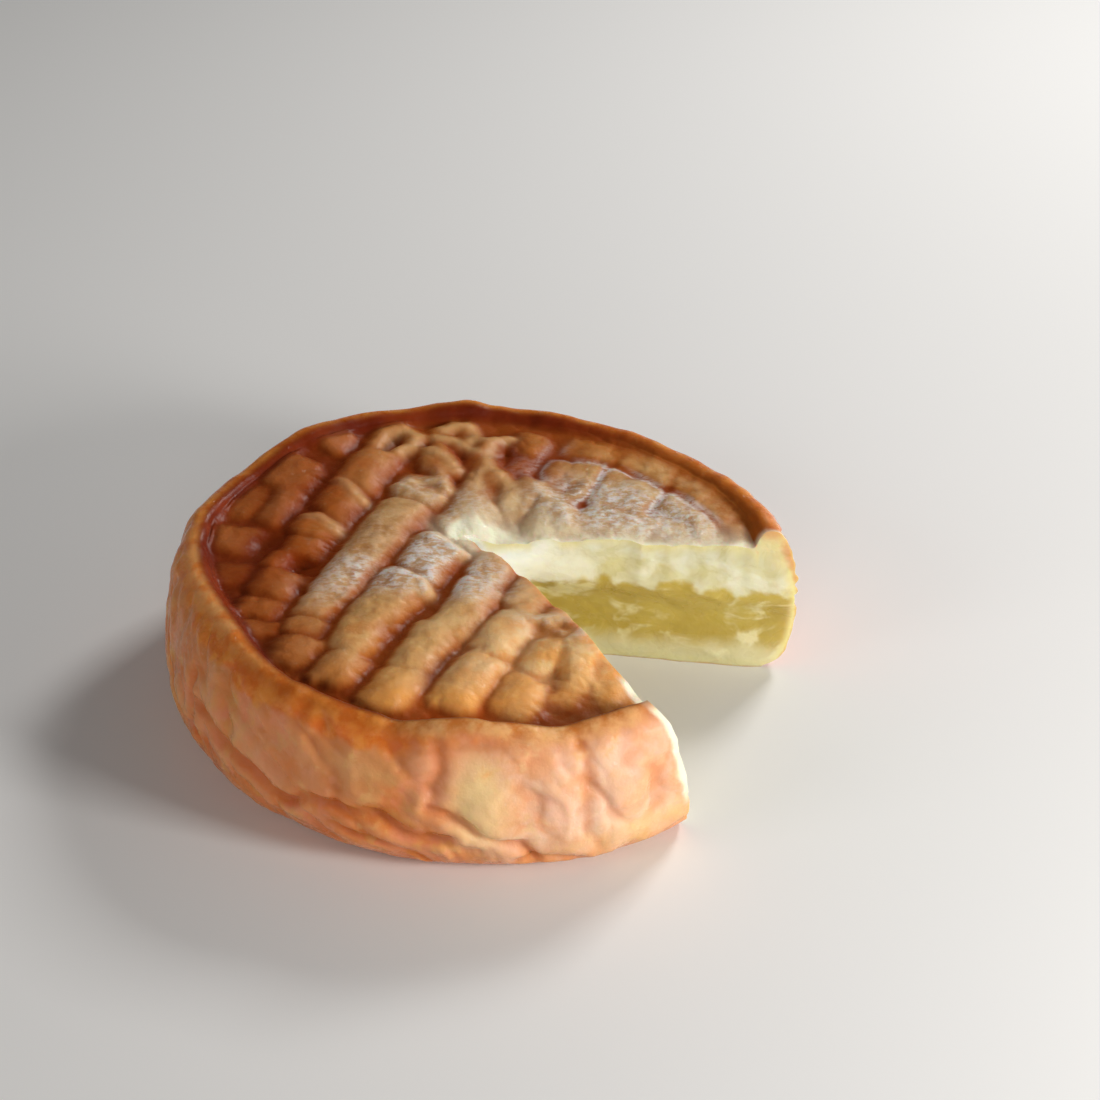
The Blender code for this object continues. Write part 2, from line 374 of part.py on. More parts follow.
def outside(th, fine=True):
    """The finished outside in each direction: arrays of x, y, z, rows down the profile."""
    r, z = profile(th)
    c, s = np.cos(th), np.sin(th)
    n = len(r)
    row = np.arange(n)[:, None]
    rim, crest = at(R_CREST, th), at(Z_CREST, th)
    inner = rim - RIM_FOOT
    # side: swellings, creases and small lumps, fading out over the rim and at the flat underside
    a0 = N_TOP + N_WALL + N_CREST
    base = a0 + N_SHOULDER + N_SIDE
    side = smooth((row - a0 + 2) / 12.0) * smooth((base + 2 - row) / 8.0)
    th2 = np.broadcast_to(th, r.shape)
    lump = side_relief(th2, z) + 0.55 * noise(c * 8, s * 8, z / 7.0, 61)
    if fine:
        lump = lump + 0.20 * fbm(c * 17, s * 17, z / 3.2, 2, 62) + folds(th2, z)
    r = r + lump * side
    # rim: a little uneven
    crown = smooth((row - N_TOP) / 6.0) * smooth((a0 + 12 - row) / 10.0)
    r = r + crown * 0.45 * noise(c * 10, s * 10, z / 7.0, 71)
    z = z + crown * 0.25 * noise(c * 14, s * 14, z / 5.0, 72)
    # top: the ridges, dying out against the rim
    x, y = r * c, r * s
    mask = smooth((inner + 2.0 - r) / 2.6) * (row <= N_TOP + 4)
    keep, drop = droop(x, y)
    z = z + mask * (pillows(x, y) * keep - drop)
    if fine:
        z = z + smooth((rim - r) / 3.0) * (row <= N_TOP + N_WALL) * puckers(x, y)
    z = np.where(row >= base + 4, np.minimum(z, 0.0) * 0.0, np.maximum(z, 0.0))
    return x, y, z


# ---------------------------------------------------------------- the cuts
def cut_wall(along, z, far):
    """How far a cut face stands into the gap beyond its plane: it leans and sags out towards the outside, and has
    lumps and smears in it."""
    seed = 90 if far else 80
    out = 0.35 * noise(along / 14, z / 9, 0.0, seed) + 0.25 * noise(along / 6.0 + z / 16.0, z / 3.2, 1.0, seed + 1)
    out = out + 0.16 * noise(along / 3.4 + z / 8.0, z / 1.5, 4.0, seed + 2)
    outer = smooth((along - 8.0) / 48.0)
    if far:
        lip = 23.4 - 3.4 * smooth(along / 50.0) + 1.6 * noise(along / 6.0, 0.0, 2.0, 95)     # where the belly is fullest
        belly = smooth((26.5 - z) / 6.5) * smooth((z - lip + 10.5) / 6.5)
        out = out + belly * (3.1 - 1.7 * smooth(along / 34.0))
        out = out + outer * (0.8 + 0.24 * np.clip(27.0 - z, -6.0, 11.0))
    else:
        out = out + outer * (0.19 * np.clip(24.0 - z, 0.0, 24.0) - 0.6 * np.clip(z - 24.0, 0.0, 5.0))
        out = out + 0.6 * smooth((z - 3.0) / 5.0) * smooth((25.0 - z) / 5.0) * smooth(along / 14.0)
        # this face is bowed into the gap along its middle
        out = out + 2.2 * smooth((along + 2.0) / 22.0) * smooth((62.0 - along) / 30.0) * (0.55 + 0.45 * smooth(z / 14.0))
    if far:
        high = smooth((z - 16.0) / 2.5) * smooth((27.0 - z) / 2.0)
        out = out + high * smooth((along - 20.0) / 10.0) * smooth((58.0 - along) / 8.0) * 0.55 * noise(along / 3.8, z / 4.0, 2.0, 97)
        out = out - 0.9 * smooth((17.5 + 1.5 * noise(along / 7.0, 0.0, 1.0, 98) - z) / 6.0) * smooth((z - 3.0) / 5.0) * smooth(along / 14.0)
    return out * smooth(along / 4.0)



# ---------------------------------------------------------------- meshes
SEGMENTS = 120              # corners round the wheel; the middle rings have fewer
MIDDLE = (0.07, -0.85)       # middle of the outline, moved onto the origin
CUTTER_REACH = 78.0         # how far the cutter runs from the apex
CUTTER_Z = (-4.0, 34.0)


def ring_rows():
    """Rows of the profile that the mesh keeps, from the middle of the top to the foot."""
    wall = N_TOP + N_WALL
    crest = wall + N_CREST
    side = crest + N_SHOULDER
    foot = side + N_SIDE
    rows = list(range(4, N_TOP + 1, 4))
    rows += [N_TOP + 3, N_TOP + 6, wall, crest - 2, crest + 1, crest + 4, side]
    rows += list(range(side + 5, foot - 3, 6)) + [foot - 2, foot + 2, foot + 6]
    return rows


def wheel_mesh():
    theta = np.radians(np.arange(SEGMENTS) * 360.0 / SEGMENTS - 180.0)
    x, y, z = outside(theta, fine=False)
    rows = ring_rows()
    verts, faces, rings = [(x[0, 0], y[0, 0], z[0].mean())], [], []
    for row in rows:
        radius = row * STEP
        every = 1 if radius > 22 or row > N_TOP else 2 if radius > 10 else 4
        ids = []
        for i in range(0, SEGMENTS, every):
            ids.append(len(verts))
            verts.append((x[row, i], y[row, i], z[row, i]))
        rings.append(ids)
    first = rings[0]
    for i in range(len(first)):
        faces.append((0, first[i], first[(i + 1) % len(first)]))
    for inner, outer in zip(rings[:-1], rings[1:]):
        n = len(inner)
        if len(outer) == n:
            for i in range(n):
                j = (i + 1) % n
                faces.append((inner[i], outer[i], outer[j], inner[j]))
        else:
            for i in range(n):
                j = (i + 1) % n
                a, b, c = outer[2 * i], outer[2 * i + 1], outer[(2 * i + 2) % len(outer)]
                faces += [(inner[i], a, b), (inner[i], b, inner[j]), (inner[j], b, c)]
    faces.append(tuple(reversed(rings[-1])))
    return verts, faces


def gap_mesh(cols=27, rows=14):
    """The missing wedge as a closed body: two uneven walls from the apex, closed round beyond the wheel."""
    verts, faces = [], []
    zs = np.linspace(CUTTER_Z[0], CUTTER_Z[1], rows)
    along = CUTTER_REACH * np.linspace(0, 1, cols)
    walls = []
    for far in (False, True):
        a = np.radians(CUT_FAR if far else CUT_NEAR)
        side = -1.0 if far else 1.0
        normal = (-np.sin(a) * side, np.cos(a) * side)
        A, Z = np.meshgrid(along, zs, indexing="ij")
        off = cut_wall(A, Z, far)
        px = CUT_APEX[0] + A * np.cos(a) + off * normal[0]
        py = CUT_APEX[1] + A * np.sin(a) + off * normal[1]
        walls.append((px, py))
    grid = {}
    for n, (px, py) in enumerate(walls):
        for i in range(cols):
            for k in range(rows):
                if n == 1 and i == 0:
                    grid[n, i, k] = grid[0, 0, k]
                    continue
                grid[n, i, k] = len(verts)
                verts.append((px[i, k], py[i, k], zs[k]))
    for i in range(cols - 1):
        for k in range(rows - 1):
            # the near wall faces back towards the wheel's nearer half, the far wall towards its farther half
            faces.append((grid[0, i, k], grid[0, i + 1, k], grid[0, i + 1, k + 1], grid[0, i, k + 1]))
            faces.append((grid[1, i, k], grid[1, i, k + 1], grid[1, i + 1, k + 1], grid[1, i + 1, k]))
    end = cols - 1
    for k in range(rows - 1):
        faces.append((grid[0, end, k], grid[1, end, k], grid[1, end, k + 1], grid[0, end, k + 1]))
    for k, flip in ((0, True), (rows - 1, False)):
        loop = [grid[0, i, k] for i in range(cols)] + [grid[1, i, k] for i in range(cols - 1, 0, -1)]
        faces.append(tuple(reversed(loop)) if flip else tuple(loop))
    return verts, faces


def make_object(name, verts, faces, material=None):
    mesh = bpy.data.meshes.new(name)
    moved = [((v[0] - MIDDLE[0]) / 1000.0, (v[1] - MIDDLE[1]) / 1000.0, v[2] / 1000.0) for v in verts]
    mesh.from_pydata(moved, [], [list(map(int, f)) for f in faces])
    mesh.validate()
    if material:
        mesh.materials.append(material)
    obj = bpy.data.objects.new(name, mesh)
    bpy.context.scene.collection.objects.link(obj)
    return obj


def rind_material():
    mat = bpy.data.materials.new("rind")
    mat.use_nodes = True
    shader = mat.node_tree.nodes["Principled BSDF"]
    shader.inputs["Base Color"].default_value = (0.62, 0.27, 0.10, 1.0)
    shader.inputs["Roughness"].default_value = 0.42
    return mat


for old in list(bpy.data.objects):
    bpy.data.objects.remove(old, do_unlink=True)

wheel = make_object("wheel", *wheel_mesh(), material=rind_material())
gap = make_object("gap", *gap_mesh())
gap.hide_render = True
gap.display_type = "WIRE"
cut = wheel.modifiers.new("wedge_taken_out", "BOOLEAN")
cut.operation = "DIFFERENCE"
cut.solver = "EXACT"
cut.object = gap
for poly in wheel.data.polygons:
    poly.use_smooth = True
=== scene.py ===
"""The looks of a small soft washed-rind cheese with a gap cut into it."""

import bpy
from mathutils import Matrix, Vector
import numpy as np


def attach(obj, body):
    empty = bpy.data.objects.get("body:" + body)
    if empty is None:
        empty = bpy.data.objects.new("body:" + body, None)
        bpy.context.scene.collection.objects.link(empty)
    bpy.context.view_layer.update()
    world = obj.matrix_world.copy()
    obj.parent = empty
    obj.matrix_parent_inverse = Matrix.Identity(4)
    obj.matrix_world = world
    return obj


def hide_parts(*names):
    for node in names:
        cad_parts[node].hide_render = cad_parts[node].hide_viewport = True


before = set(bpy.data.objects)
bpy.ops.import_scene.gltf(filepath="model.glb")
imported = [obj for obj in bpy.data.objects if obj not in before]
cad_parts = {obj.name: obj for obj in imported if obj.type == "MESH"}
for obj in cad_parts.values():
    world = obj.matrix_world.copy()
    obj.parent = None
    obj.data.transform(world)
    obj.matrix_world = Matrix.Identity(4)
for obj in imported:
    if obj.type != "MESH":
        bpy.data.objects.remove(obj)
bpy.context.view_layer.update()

# ---------------------------------------------------------------- sizes, in millimetres
# The wheel stands on z = 0 with its middle near x = y = 0; -Y is its front, and the gap opens towards +X.
RIDGE_DIR = 66.0            # direction the long ridges of the top run in, degrees
CUT_APEX = (-3.5, 11.5)     # where the two cuts meet
CUT_NEAR = -58.0            # direction of the cut nearer the front
CUT_FAR = -3.0              # direction of the cut farther back
TOP_MID = 23.4              # height of the groove floors at the middle
TOP_TILT = (-0.014, 0.034)  # how they climb along x and y
TOP_DISH = 0.00025          # and how they curl up towards the front and back
MOAT = 0.2                  # how much lower they are beside the rim
RIM_FOOT = 3.5              # from the rim's crest in to its foot
BULGE_Z = 12.0              # height of the widest part of the side
LIP_HALF = 2.6
OUTLINE = (  # direction, widest radius, radius at the foot, radius of the rim's crest
    (-180, 56.3, 54.0, 50.6), (-165, 55.6, 52.6, 47.7), (-150, 55.8, 52.2, 47.1), (-135, 55.6, 51.9, 49.1),
    (-120, 56.0, 51.8, 49.3), (-105, 56.1, 52.4, 49.5), (-90, 56.0, 52.9, 49.6), (-75, 56.1, 54.1, 50.8),
    (-60, 56.1, 54.8, 51.6), (-45, 56.0, 54.4, 51.6), (-30, 56.4, 53.8, 51.8), (-15, 57.0, 53.4, 52.4),
    (0, 57.2, 53.2, 53.0), (15, 56.6, 52.8, 52.6), (30, 55.3, 52.2, 50.9), (45, 54.6, 51.8, 50.3),
    (60, 54.2, 51.6, 50.6), (75, 54.2, 51.6, 51.2), (90, 54.6, 52.0, 51.8), (105, 55.0, 52.6, 52.2),
    (120, 55.8, 53.0, 52.8), (135, 56.2, 53.4, 53.0), (150, 56.4, 53.6, 53.2), (165, 56.6, 53.8, 53.0),
)
CREST = (  # direction, height of the rim's crest
    (-178, 27.5), (-170, 27.6), (-156, 28.3), (-141, 28.3), (-129, 28.0), (-119, 27.9), (-111, 27.0),
    (-106, 26.4), (-99, 27.8), (-91, 28.6), (-85, 28.1), (-78, 26.8), (-74, 26.1), (-69, 27.0), (-62, 27.3),
    (-50, 27.3), (0, 27.5), (9, 27.8), (19, 28.1), (31, 28.0), (36, 27.6), (45, 27.5), (60, 27.5), (70, 27.4),
    (77, 28.0), (83, 27.6), (89, 28.3), (94, 29.5), (99, 29.2), (105, 28.2), (111, 28.7), (118, 29.2),
    (129, 29.6), (136, 28.8), (145, 27.0), (150, 27.1), (156, 27.3), (162, 27.7), (172, 27.6),
)
# Pads between the grooves of the top: across the ridges, along them, half width, half length, height,
# slope of the cross edges, turn in degrees
PADS = (
    (-46.8, 24.8, 3.4, 2.8, 1.3, 0.0, 0), (-41.2, 25.4, 4.6, 4.0, 2.0, -0.35, 0),
    (-43.8, 12.1, 6.4, 5.6, 1.9, -0.25, 0), (-47.0, 1.9, 3.4, 5.4, 1.5, 0.0, 0), (-41.1, 3.0, 3.9, 6.2, 1.9, -0.4, 0),
    (-44.4, -9.8, 6.4, 4.8, 1.6, 0.15, 0), (-39.6, -19.4, 4.4, 3.8, 1.3, 0.3, 0),
    (-41.9, 34.1, 4.0, 3.4, 1.1, -0.4, 0), (-31.7, 19.7, 5.3, 6.9, 2.6, -0.15, 0),
    (-31.6, 8.1, 5.4, 5.6, 2.6, -0.42, 0), (-31.6, -0.9, 5.5, 3.7, 2.5, -0.1, 0),
    (-31.2, -7.3, 5.0, 3.6, 2.0, 0.1, 0), (-33.5, -12.4, 3.0, 3.2, 1.8, 0.0, 0),
    (-30.4, -18.5, 5.2, 4.8, 2.0, 0.1, 0), (-29.8, -26.3, 4.8, 3.2, 1.7, 0.1, 0),
    (-26.9, -31.6, 4.4, 2.6, 1.4, 0.25, 0), (-20.6, 27.1, 5.2, 4.8, 2.5, -0.7, 0),
    (-20.0, 17.5, 5.8, 4.6, 2.3, -0.1, 0), (-20.2, 4.1, 5.6, 9.4, 2.8, -0.12, 0),
    (-20.1, -10.9, 5.2, 8.8, 2.7, 0.0, 0), (-20.3, -21.9, 4.8, 4.0, 2.2, 0.08, 0),
    (-19.7, -28.2, 4.5, 2.8, 2.0, 0.15, 0), (-18.3, -34.7, 5.2, 4.2, 1.9, 0.2, 0),
    (-8.3, 13.9, 6.4, 7.2, 2.5, -0.55, 0), (-9.2, -0.2, 5.9, 6.1, 2.6, -0.33, 0),
    (-10.2, -14.3, 5.7, 8.6, 2.8, -0.15, 0), (-10.2, -26.0, 5.2, 6.4, 2.6, 0.0, 0),
    (-8.9, -36.0, 4.7, 4.9, 2.3, 0.05, 0), (2.4, 0.2, 5.2, 5.2, 2.1, -0.55, 0), (3.1, -11.4, 5.0, 8.4, 2.7, -0.2, 0),
    (1.7, -24.7, 4.9, 7.8, 2.6, 0.05, 0), (2.0, -37.5, 5.2, 6.2, 2.4, 0.08, 0), (11.6, -4.2, 4.8, 5.8, 2.1, -0.62, 0),
    (12.1, -16.9, 4.9, 6.4, 2.6, 0.05, 0), (12.5, -30.7, 5.1, 7.8, 2.8, 0.0, 0), (20.2, -8.6, 4.2, 4.4, 1.7, -0.62, 0),
    (21.2, -19.0, 3.8, 4.8, 2.1, 0.0, 0), (27.6, -16.8, 4.8, 7.0, 2.2, -0.55, 0),
    (22.1, -30.6, 4.8, 5.4, 2.2, -0.1, 0), (28.5, -26.5, 3.4, 3.8, 1.5, 0.0, 0),
    (34.6, -20.4, 4.8, 5.8, 1.6, -0.62, 0), (41.0, -24.6, 4.2, 4.0, 1.2, -0.6, 0),    (-1.8, 23.0, 3.8, 6.6, 2.1, -0.3, 0), (4.9, 18.6, 5.0, 5.8, 2.2, -0.5, 0),
    (-7.9, 39.9, 4.4, 4.4, 1.7, -0.2, 0), (-6.5, 33.4, 3.6, 4.0, 1.2, 0.0, 0), (-9.8, 22.6, 5.0, 4.6, 2.1, -0.5, 0),
    (-14.9, 29.9, 2.6, 4.6, 1.2, 0.0, 0),
)
# Broad flat pads with narrow grooves between them, same columns
FLATS = (
    (0.2, 34.4, 3.4, 3.8, 1.3, -0.2, 0), (4.9, 33.2, 3.9, 5.4, 1.2, -0.2, 0), (3.2, 27.5, 5.4, 4.4, 1.0, -0.3, 0),
    (15.1, 32.8, 6.1, 5.9, 0.95, -0.15, 0), (16.6, 21.4, 7.1, 6.6, 1.1, -0.2, 0), (31.2, 27.0, 9.1, 7.5, 0.9, -0.52, 0),
    (3.2, 41.9, 5.9, 4.3, 1.0, -0.1, 0), (15.4, 41.8, 6.1, 4.2, 0.85, -0.3, 0), (30.4, 36.4, 9.2, 3.7, 0.75, -0.62, 0),
)
FLAT_EDGE = 2.7             # how far in from their outline they round over
# Narrow creases across the flat pads: depth, half width, and the way each runs as (across, along) pairs
SEAMS = (
    (0.45, 1.3, ((-1.0, 38.6), (4.5, 39.3), (9.8, 39.8), (15.0, 38.4), (18.6, 36.6), (25.0, 34.6), (31.5, 31.2), (38.5, 26.2))),
    (0.35, 0.9, ((9.4, 25.6), (13.5, 26.8), (18.0, 26.2), (21.6, 24.6))),
    (0.3, 0.9, ((23.5, 28.4), (28.0, 27.2), (33.0, 23.4))),
)
# Sharp folds of skin on the top: height, half width, and the way each runs as (across, along) pairs
FOLDS = (
    (2.2, 2.4, ((-12.6, 40.6), (-14.5, 38.7), (-15.9, 37.4), (-17.9, 37.2))),
    (2.8, 4.2, ((-14.9, 36.2), (-13.9, 32.1), (-12.0, 29.0), (-8.6, 27.0))), (2.5, 3.6, ((-8.6, 27.0), (-5.4, 24.6), (-3.4, 21.0))), (2.4, 3.0, ((-12.0, 29.0), (-12.8, 25.4), (-11.0, 22.0))),
    (2.2, 2.8, ((-25.4, 37.8), (-23.7, 40.1), (-21.5, 40.9), (-19.7, 39.0), (-19.0, 36.1))),
    (2.0, 2.8, ((-25.4, 34.5), (-21.8, 35.2), (-18.6, 33.9), (-16.0, 33.0))),
    (2.5, 3.4, ((-34.1, 27.6), (-34.3, 31.8), (-32.1, 34.3), (-29.0, 33.5), (-28.1, 29.8), (-29.4, 27.1))),
    (2.7, 2.4, ((-24.2, 16.9), (-21.8, 15.6), (-18.9, 15.0), (-15.9, 16.3))),
    (2.6, 2.6, ((-22.9, 18.5), (-19.9, 20.5), (-17.4, 21.2), (-15.4, 19.0))),
    (2.8, 3.0, ((-24.0, 29.6), (-20.9, 28.6), (-17.0, 25.9))),
    (2.3, 3.6, ((-1.4, 26.9), (1.5, 25.2), (4.4, 23.0), (7.6, 21.0), (8.8, 18.0))),
    (2.75, 2.2, ((-12.4, 4.8), (-8.8, 3.8), (-5.0, 2.0))),
    (2.8, 2.2, ((-13.4, -8.4), (-10.7, -7.7), (-7.4, -8.4), (-5.0, -10.7))),
    (2.7, 2.2, ((-34.8, 13.4), (-30.8, 11.0), (-28.2, 9.7))),
    (2.5, 2.2, ((-35.1, 0.9), (-32.3, 1.2), (-28.2, -0.5))),
    (2.1, 1.8, ((24.2, -15.0), (26.5, -19.2), (28.0, -24.1))),
    (2.0, 2.2, ((9.9, -10.5), (15.2, -9.7), (19.3, -8.8))),
)
# Pinches and hollows in the pads: across, along, half width, half length, depth, turn
HOLLOWS = (
    (-32.0, 31.1, 1.8, 2.8, 1.5, 0), (-31.1, 28.3, 1.2, 2.0, 1.0, -20), (-20.0, 19.8, 2.4, 1.2, 1.5, -15),
    (-29.3, -11.7, 2.4, 3.0, 1.5, 20), (24.2, -23.5, 1.0, 2.2, 1.3, -25), (26.1, -26.4, 1.6, 1.6, 1.1, 0),
    (21.2, -10.2, 1.6, 1.8, 1.3, 0), (21.1, -33.3, 1.8, 1.3, 0.6, 0), (-19.7, 38.5, 1.2, 1.8, 1.0, 0),
    (-11.4, 35.7, 1.8, 2.4, 0.9, -25), (-8.1, 23.3, 1.8, 1.3, 0.5, -30), (-12.9, 33.4, 1.2, 2.8, 0.8, -20),
    (-36.9, 25.9, 1.4, 3.0, 0.8, 0), (-46.4, 30.2, 1.4, 1.4, 1.0, 0), (28.5, -30.9, 1.8, 2.0, 1.0, 0),
    (-38.7, -8.6, 2.2, 3.4, 1.3, 0), (9.4, -21.9, 2.2, 0.8, 1.0, 8), (-0.8, 18.6, 1.6, 3.0, 0.5, 30),
    (4.1, 30.2, 1.6, 2.2, 0.6, 0), (-25.1, -19.0, 1.4, 1.2, 0.8, 0), (31.1, -18.3, 1.2, 2.0, 0.7, 20),
)
# Where the groove floors stand higher: x, y, reach, rise
RAISED = ((30.0, 18.0, 17.0, 1.65), (24.0, 27.0, 14.0, 0.35), (44.0, 16.0, 8.0, 1.5), (40.0, 27.0, 8.0, 0.9), (26.0, 40.0, 10.0, 0.9), (-32.0, 38.0, 9.0, 1.3), (17.0, -17.0, 9.0, 0.9), (19.0, -25.0, 8.0, 0.9), (47.0, 9.0, 5.0, 1.2))
# Creases round the side: depth, half width, and the way each runs as (direction, height) pairs
CREASES = (
    (1.0, 1.1, ((-150, 15.5), (-145, 15.5), (-141, 13.5), (-136, 12.2), (-131, 11.2), (-127, 9.4), (-124, 9.6))),
    (0.9, 1.0, ((-124, 9.6), (-121, 12.0), (-113, 12.4), (-106, 12.0), (-103, 9.6), (-99, 8.4), (-95, 8.8))),
    (0.8, 0.9, ((-98, 15.0), (-95, 14.4), (-92, 12.0), (-89, 9.8), (-85, 8.3), (-82, 7.2), (-80.5, 4.0))),
    (0.6, 0.9, ((-126, 9.0), (-127, 5.0), (-126, 1.0))),
    (0.7, 0.9, ((-83, 3.2), (-78, 3.6), (-72, 2.0))),
    (0.5, 1.2, ((-97, 27.0), (-96.5, 22.0), (-97.5, 17.0))),
    (0.6, 1.4, ((-71.5, 25.0), (-70.5, 18.0), (-71.5, 10.0), (-69.0, 5.0))),
    (0.9, 0.7, ((-74.0, 29.0), (-72.8, 26.5), (-71.5, 24.5))),
    (0.8, 0.9, ((-154, 20.0), (-150.5, 9.0), (-149, 0.0))),
    (0.5, 1.3, ((-143, 25.0), (-141, 20.0), (-139, 16.0))),
    (0.4, 1.2, ((-119, 22.0), (-115, 17.0), (-114.5, 13.0))),
    (0.8, 1.1, ((-178, 24.0), (-171, 17.0), (-166, 12.5), (-158, 9.5), (-152, 9.0))),
    (0.7, 1.1, ((16, 12.0), (24, 10.0), (33, 13.0), (44, 12.0), (52, 8.5), (60, 9.5))),
    (0.8, 1.0, ((62, 16.0), (70, 13.0), (79, 13.5), (88, 10.0), (97, 9.0))),
    (0.7, 1.0, ((92, 18.0), (103, 15.5), (112, 16.5), (123, 12.5), (134, 11.0), (142, 12.5))),
    (0.7, 0.9, ((128, 6.5), (140, 5.5), (150, 7.5), (160, 6.0))),
    (0.6, 1.1, ((152, 21.0), (161, 16.5), (170, 15.5), (179, 12.5))),
    (0.6, 0.9, ((38, 22.0), (40, 17.0), (38, 12.5))),
    (0.6, 1.0, ((84, 24.0), (86, 19.0), (83, 14.0))),
    (0.5, 0.9, ((118, 24.0), (121, 19.0), (120, 14.0))),
    (0.5, 0.9, ((30, 5.5), (38, 4.0), (48, 5.0), (58, 3.5))),
)
# Broad swellings of the side: direction, height, half width in degrees, half height, how far they stand out
SWELLINGS = (
    (-87, 15.0, 4.5, 8.0, 0.9), (-76, 15.5, 3.6, 9.0, 1.1), (-64, 14.0, 5.0, 8.5, 0.9), (-99, 22.0, 4.0, 5.0, 0.5),
    (-109, 18.0, 5.0, 5.0, 0.6), (-121, 17.5, 5.0, 5.5, 0.6), (-113, 6.5, 8.0, 4.0, 0.9), (-93, 5.5, 7.0, 3.5, 0.7),
    (-133, 19.0, 5.0, 5.0, 0.6), (-138, 7.5, 7.0, 4.2, 0.4), (-146, 21.0, 5.5, 5.0, 0.6), (-158, 16.0, 5.0, 6.0, 0.4),
    (-72, 4.0, 6.0, 3.2, 0.6), (-166, 6.5, 7.0, 4.0, 0.1), (-172, 21.0, 6.0, 5.0, 0.6), (22, 17.0, 7.0, 5.0, 0.7),
    (36, 7.0, 8.0, 4.0, 0.8), (47, 18.0, 6.0, 5.5, 0.8), (64, 7.0, 7.0, 4.2, 0.7), (74, 19.0, 6.0, 5.0, 0.7),
    (90, 15.5, 6.0, 4.5, 0.6), (108, 8.0, 8.0, 4.5, 0.9), (112, 21.0, 6.0, 4.0, 0.5), (130, 18.0, 6.5, 5.5, 0.8),
    (147, 8.0, 7.0, 4.0, 0.7), (160, 22.0, 5.0, 4.0, 0.5), (168, 10.0, 6.0, 4.5, 0.7),
)


# ---------------------------------------------------------------- small tools
def around(table, column, blur=4.0):
    """One column of a table of directions as a smooth closed curve of 720 samples."""
    rows = sorted(table)
    angles = np.array([r[0] for r in rows] + [rows[0][0] + 360.0])
    values = np.array([r[column] for r in rows] + [rows[0][column]], float)
    step = 0.5
    grid = np.arange(720) * step - 180.0
    grid = np.where(grid < angles[0], grid + 360.0, grid)
    raw = np.interp(grid, angles, values)
    freq = np.fft.rfftfreq(720, step)
    return np.fft.irfft(np.fft.rfft(raw) * np.exp(-2 * (np.pi * freq * blur) ** 2), 720)


R_WIDE, R_FOOT, R_CREST = (around(OUTLINE, c, 5.0) for c in (1, 2, 3))
Z_CREST = around(CREST, 1, 1.8)


def at(samples, theta):
    """Value of a closed curve in a direction given in radians."""
    place = (np.degrees(theta) + 180.0) % 360.0 / 0.5
    low = np.floor(place).astype(int)
    part = place - low
    return samples[low % 720] * (1 - part) + samples[(low + 1) % 720] * part


def smooth(t):
    t = np.clip(t, 0.0, 1.0)
    return t * t * (3 - 2 * t)


def smax(a, b, k):
    h = np.clip(0.5 + 0.5 * (a - b) / k, 0, 1)
    return b * (1 - h) + a * h + k * h * (1 - h)


def corner(i, j, k, seed):
    """Three repeatable numbers from -1 to 1 for each whole-numbered corner."""
    h = (i.astype(np.int64) * 374761393 + j.astype(np.int64) * 668265263 + k.astype(np.int64) * 1440662683
         + seed * 1274126177) & 0xFFFFFFFF
    out = []
    for _ in range(3):
        h = ((h ^ (h >> 15)) * 739982445) & 0xFFFFFFFF
        h = ((h ^ (h >> 13)) * 695872825) & 0xFFFFFFFF
        h = h ^ (h >> 16)
        out.append((h & 0xFFFF) / 32767.5 - 1.0)
    return out


def noise(x, y, z, seed=0):
    """Smooth gradient noise, about -1 to 1, with lumps about one unit across."""
    x, y, z = np.broadcast_arrays(*(np.asarray(c, float) for c in (x, y, z)))
    i, j, k = np.floor(x), np.floor(y), np.floor(z)
    fx, fy, fz = x - i, y - j, z - k
    ux, uy, uz = (f * f * f * (f * (f * 6 - 15) + 10) for f in (fx, fy, fz))
    total = 0.0
    for a in (0, 1):
        for b in (0, 1):
            for c in (0, 1):
                gx, gy, gz = corner(i + a, j + b, k + c, seed)
                dot = gx * (fx - a) + gy * (fy - b) + gz * (fz - c)
                total = total + dot * (ux if a else 1 - ux) * (uy if b else 1 - uy) * (uz if c else 1 - uz)
    return total * 1.35


def fbm(x, y, z, octaves=3, seed=0, gain=0.5):
    total, size, amp = 0.0, 1.0, 1.0
    for o in range(octaves):
        total = total + amp * noise(x * size + 7.3 * o, y * size - 3.1 * o, z * size + 1.7 * o, seed + o)
        size *= 2.03
        amp *= gain
    return total


# ---------------------------------------------------------------- the top
def ridge_frame(x, y):
    """Distance across the long ridges and along them."""
    a = np.radians(RIDGE_DIR)
    return x * np.sin(a) - y * np.cos(a), x * np.cos(a) + y * np.sin(a)


def way_distance(x, y, way):
    """Distance to a line of straight pieces."""
    near = np.full(np.broadcast(x, y).shape, 1e9)
    for (x0, y0), (x1, y1) in zip(way[:-1], way[1:]):
        px, py, bx, by = x - x0, y - y0, x1 - x0, y1 - y0
        t = np.clip((px * bx + py * by) / (bx * bx + by * by), 0, 1)
        near = np.minimum(near, np.hypot(px - t * bx, py - t * by))
    return near


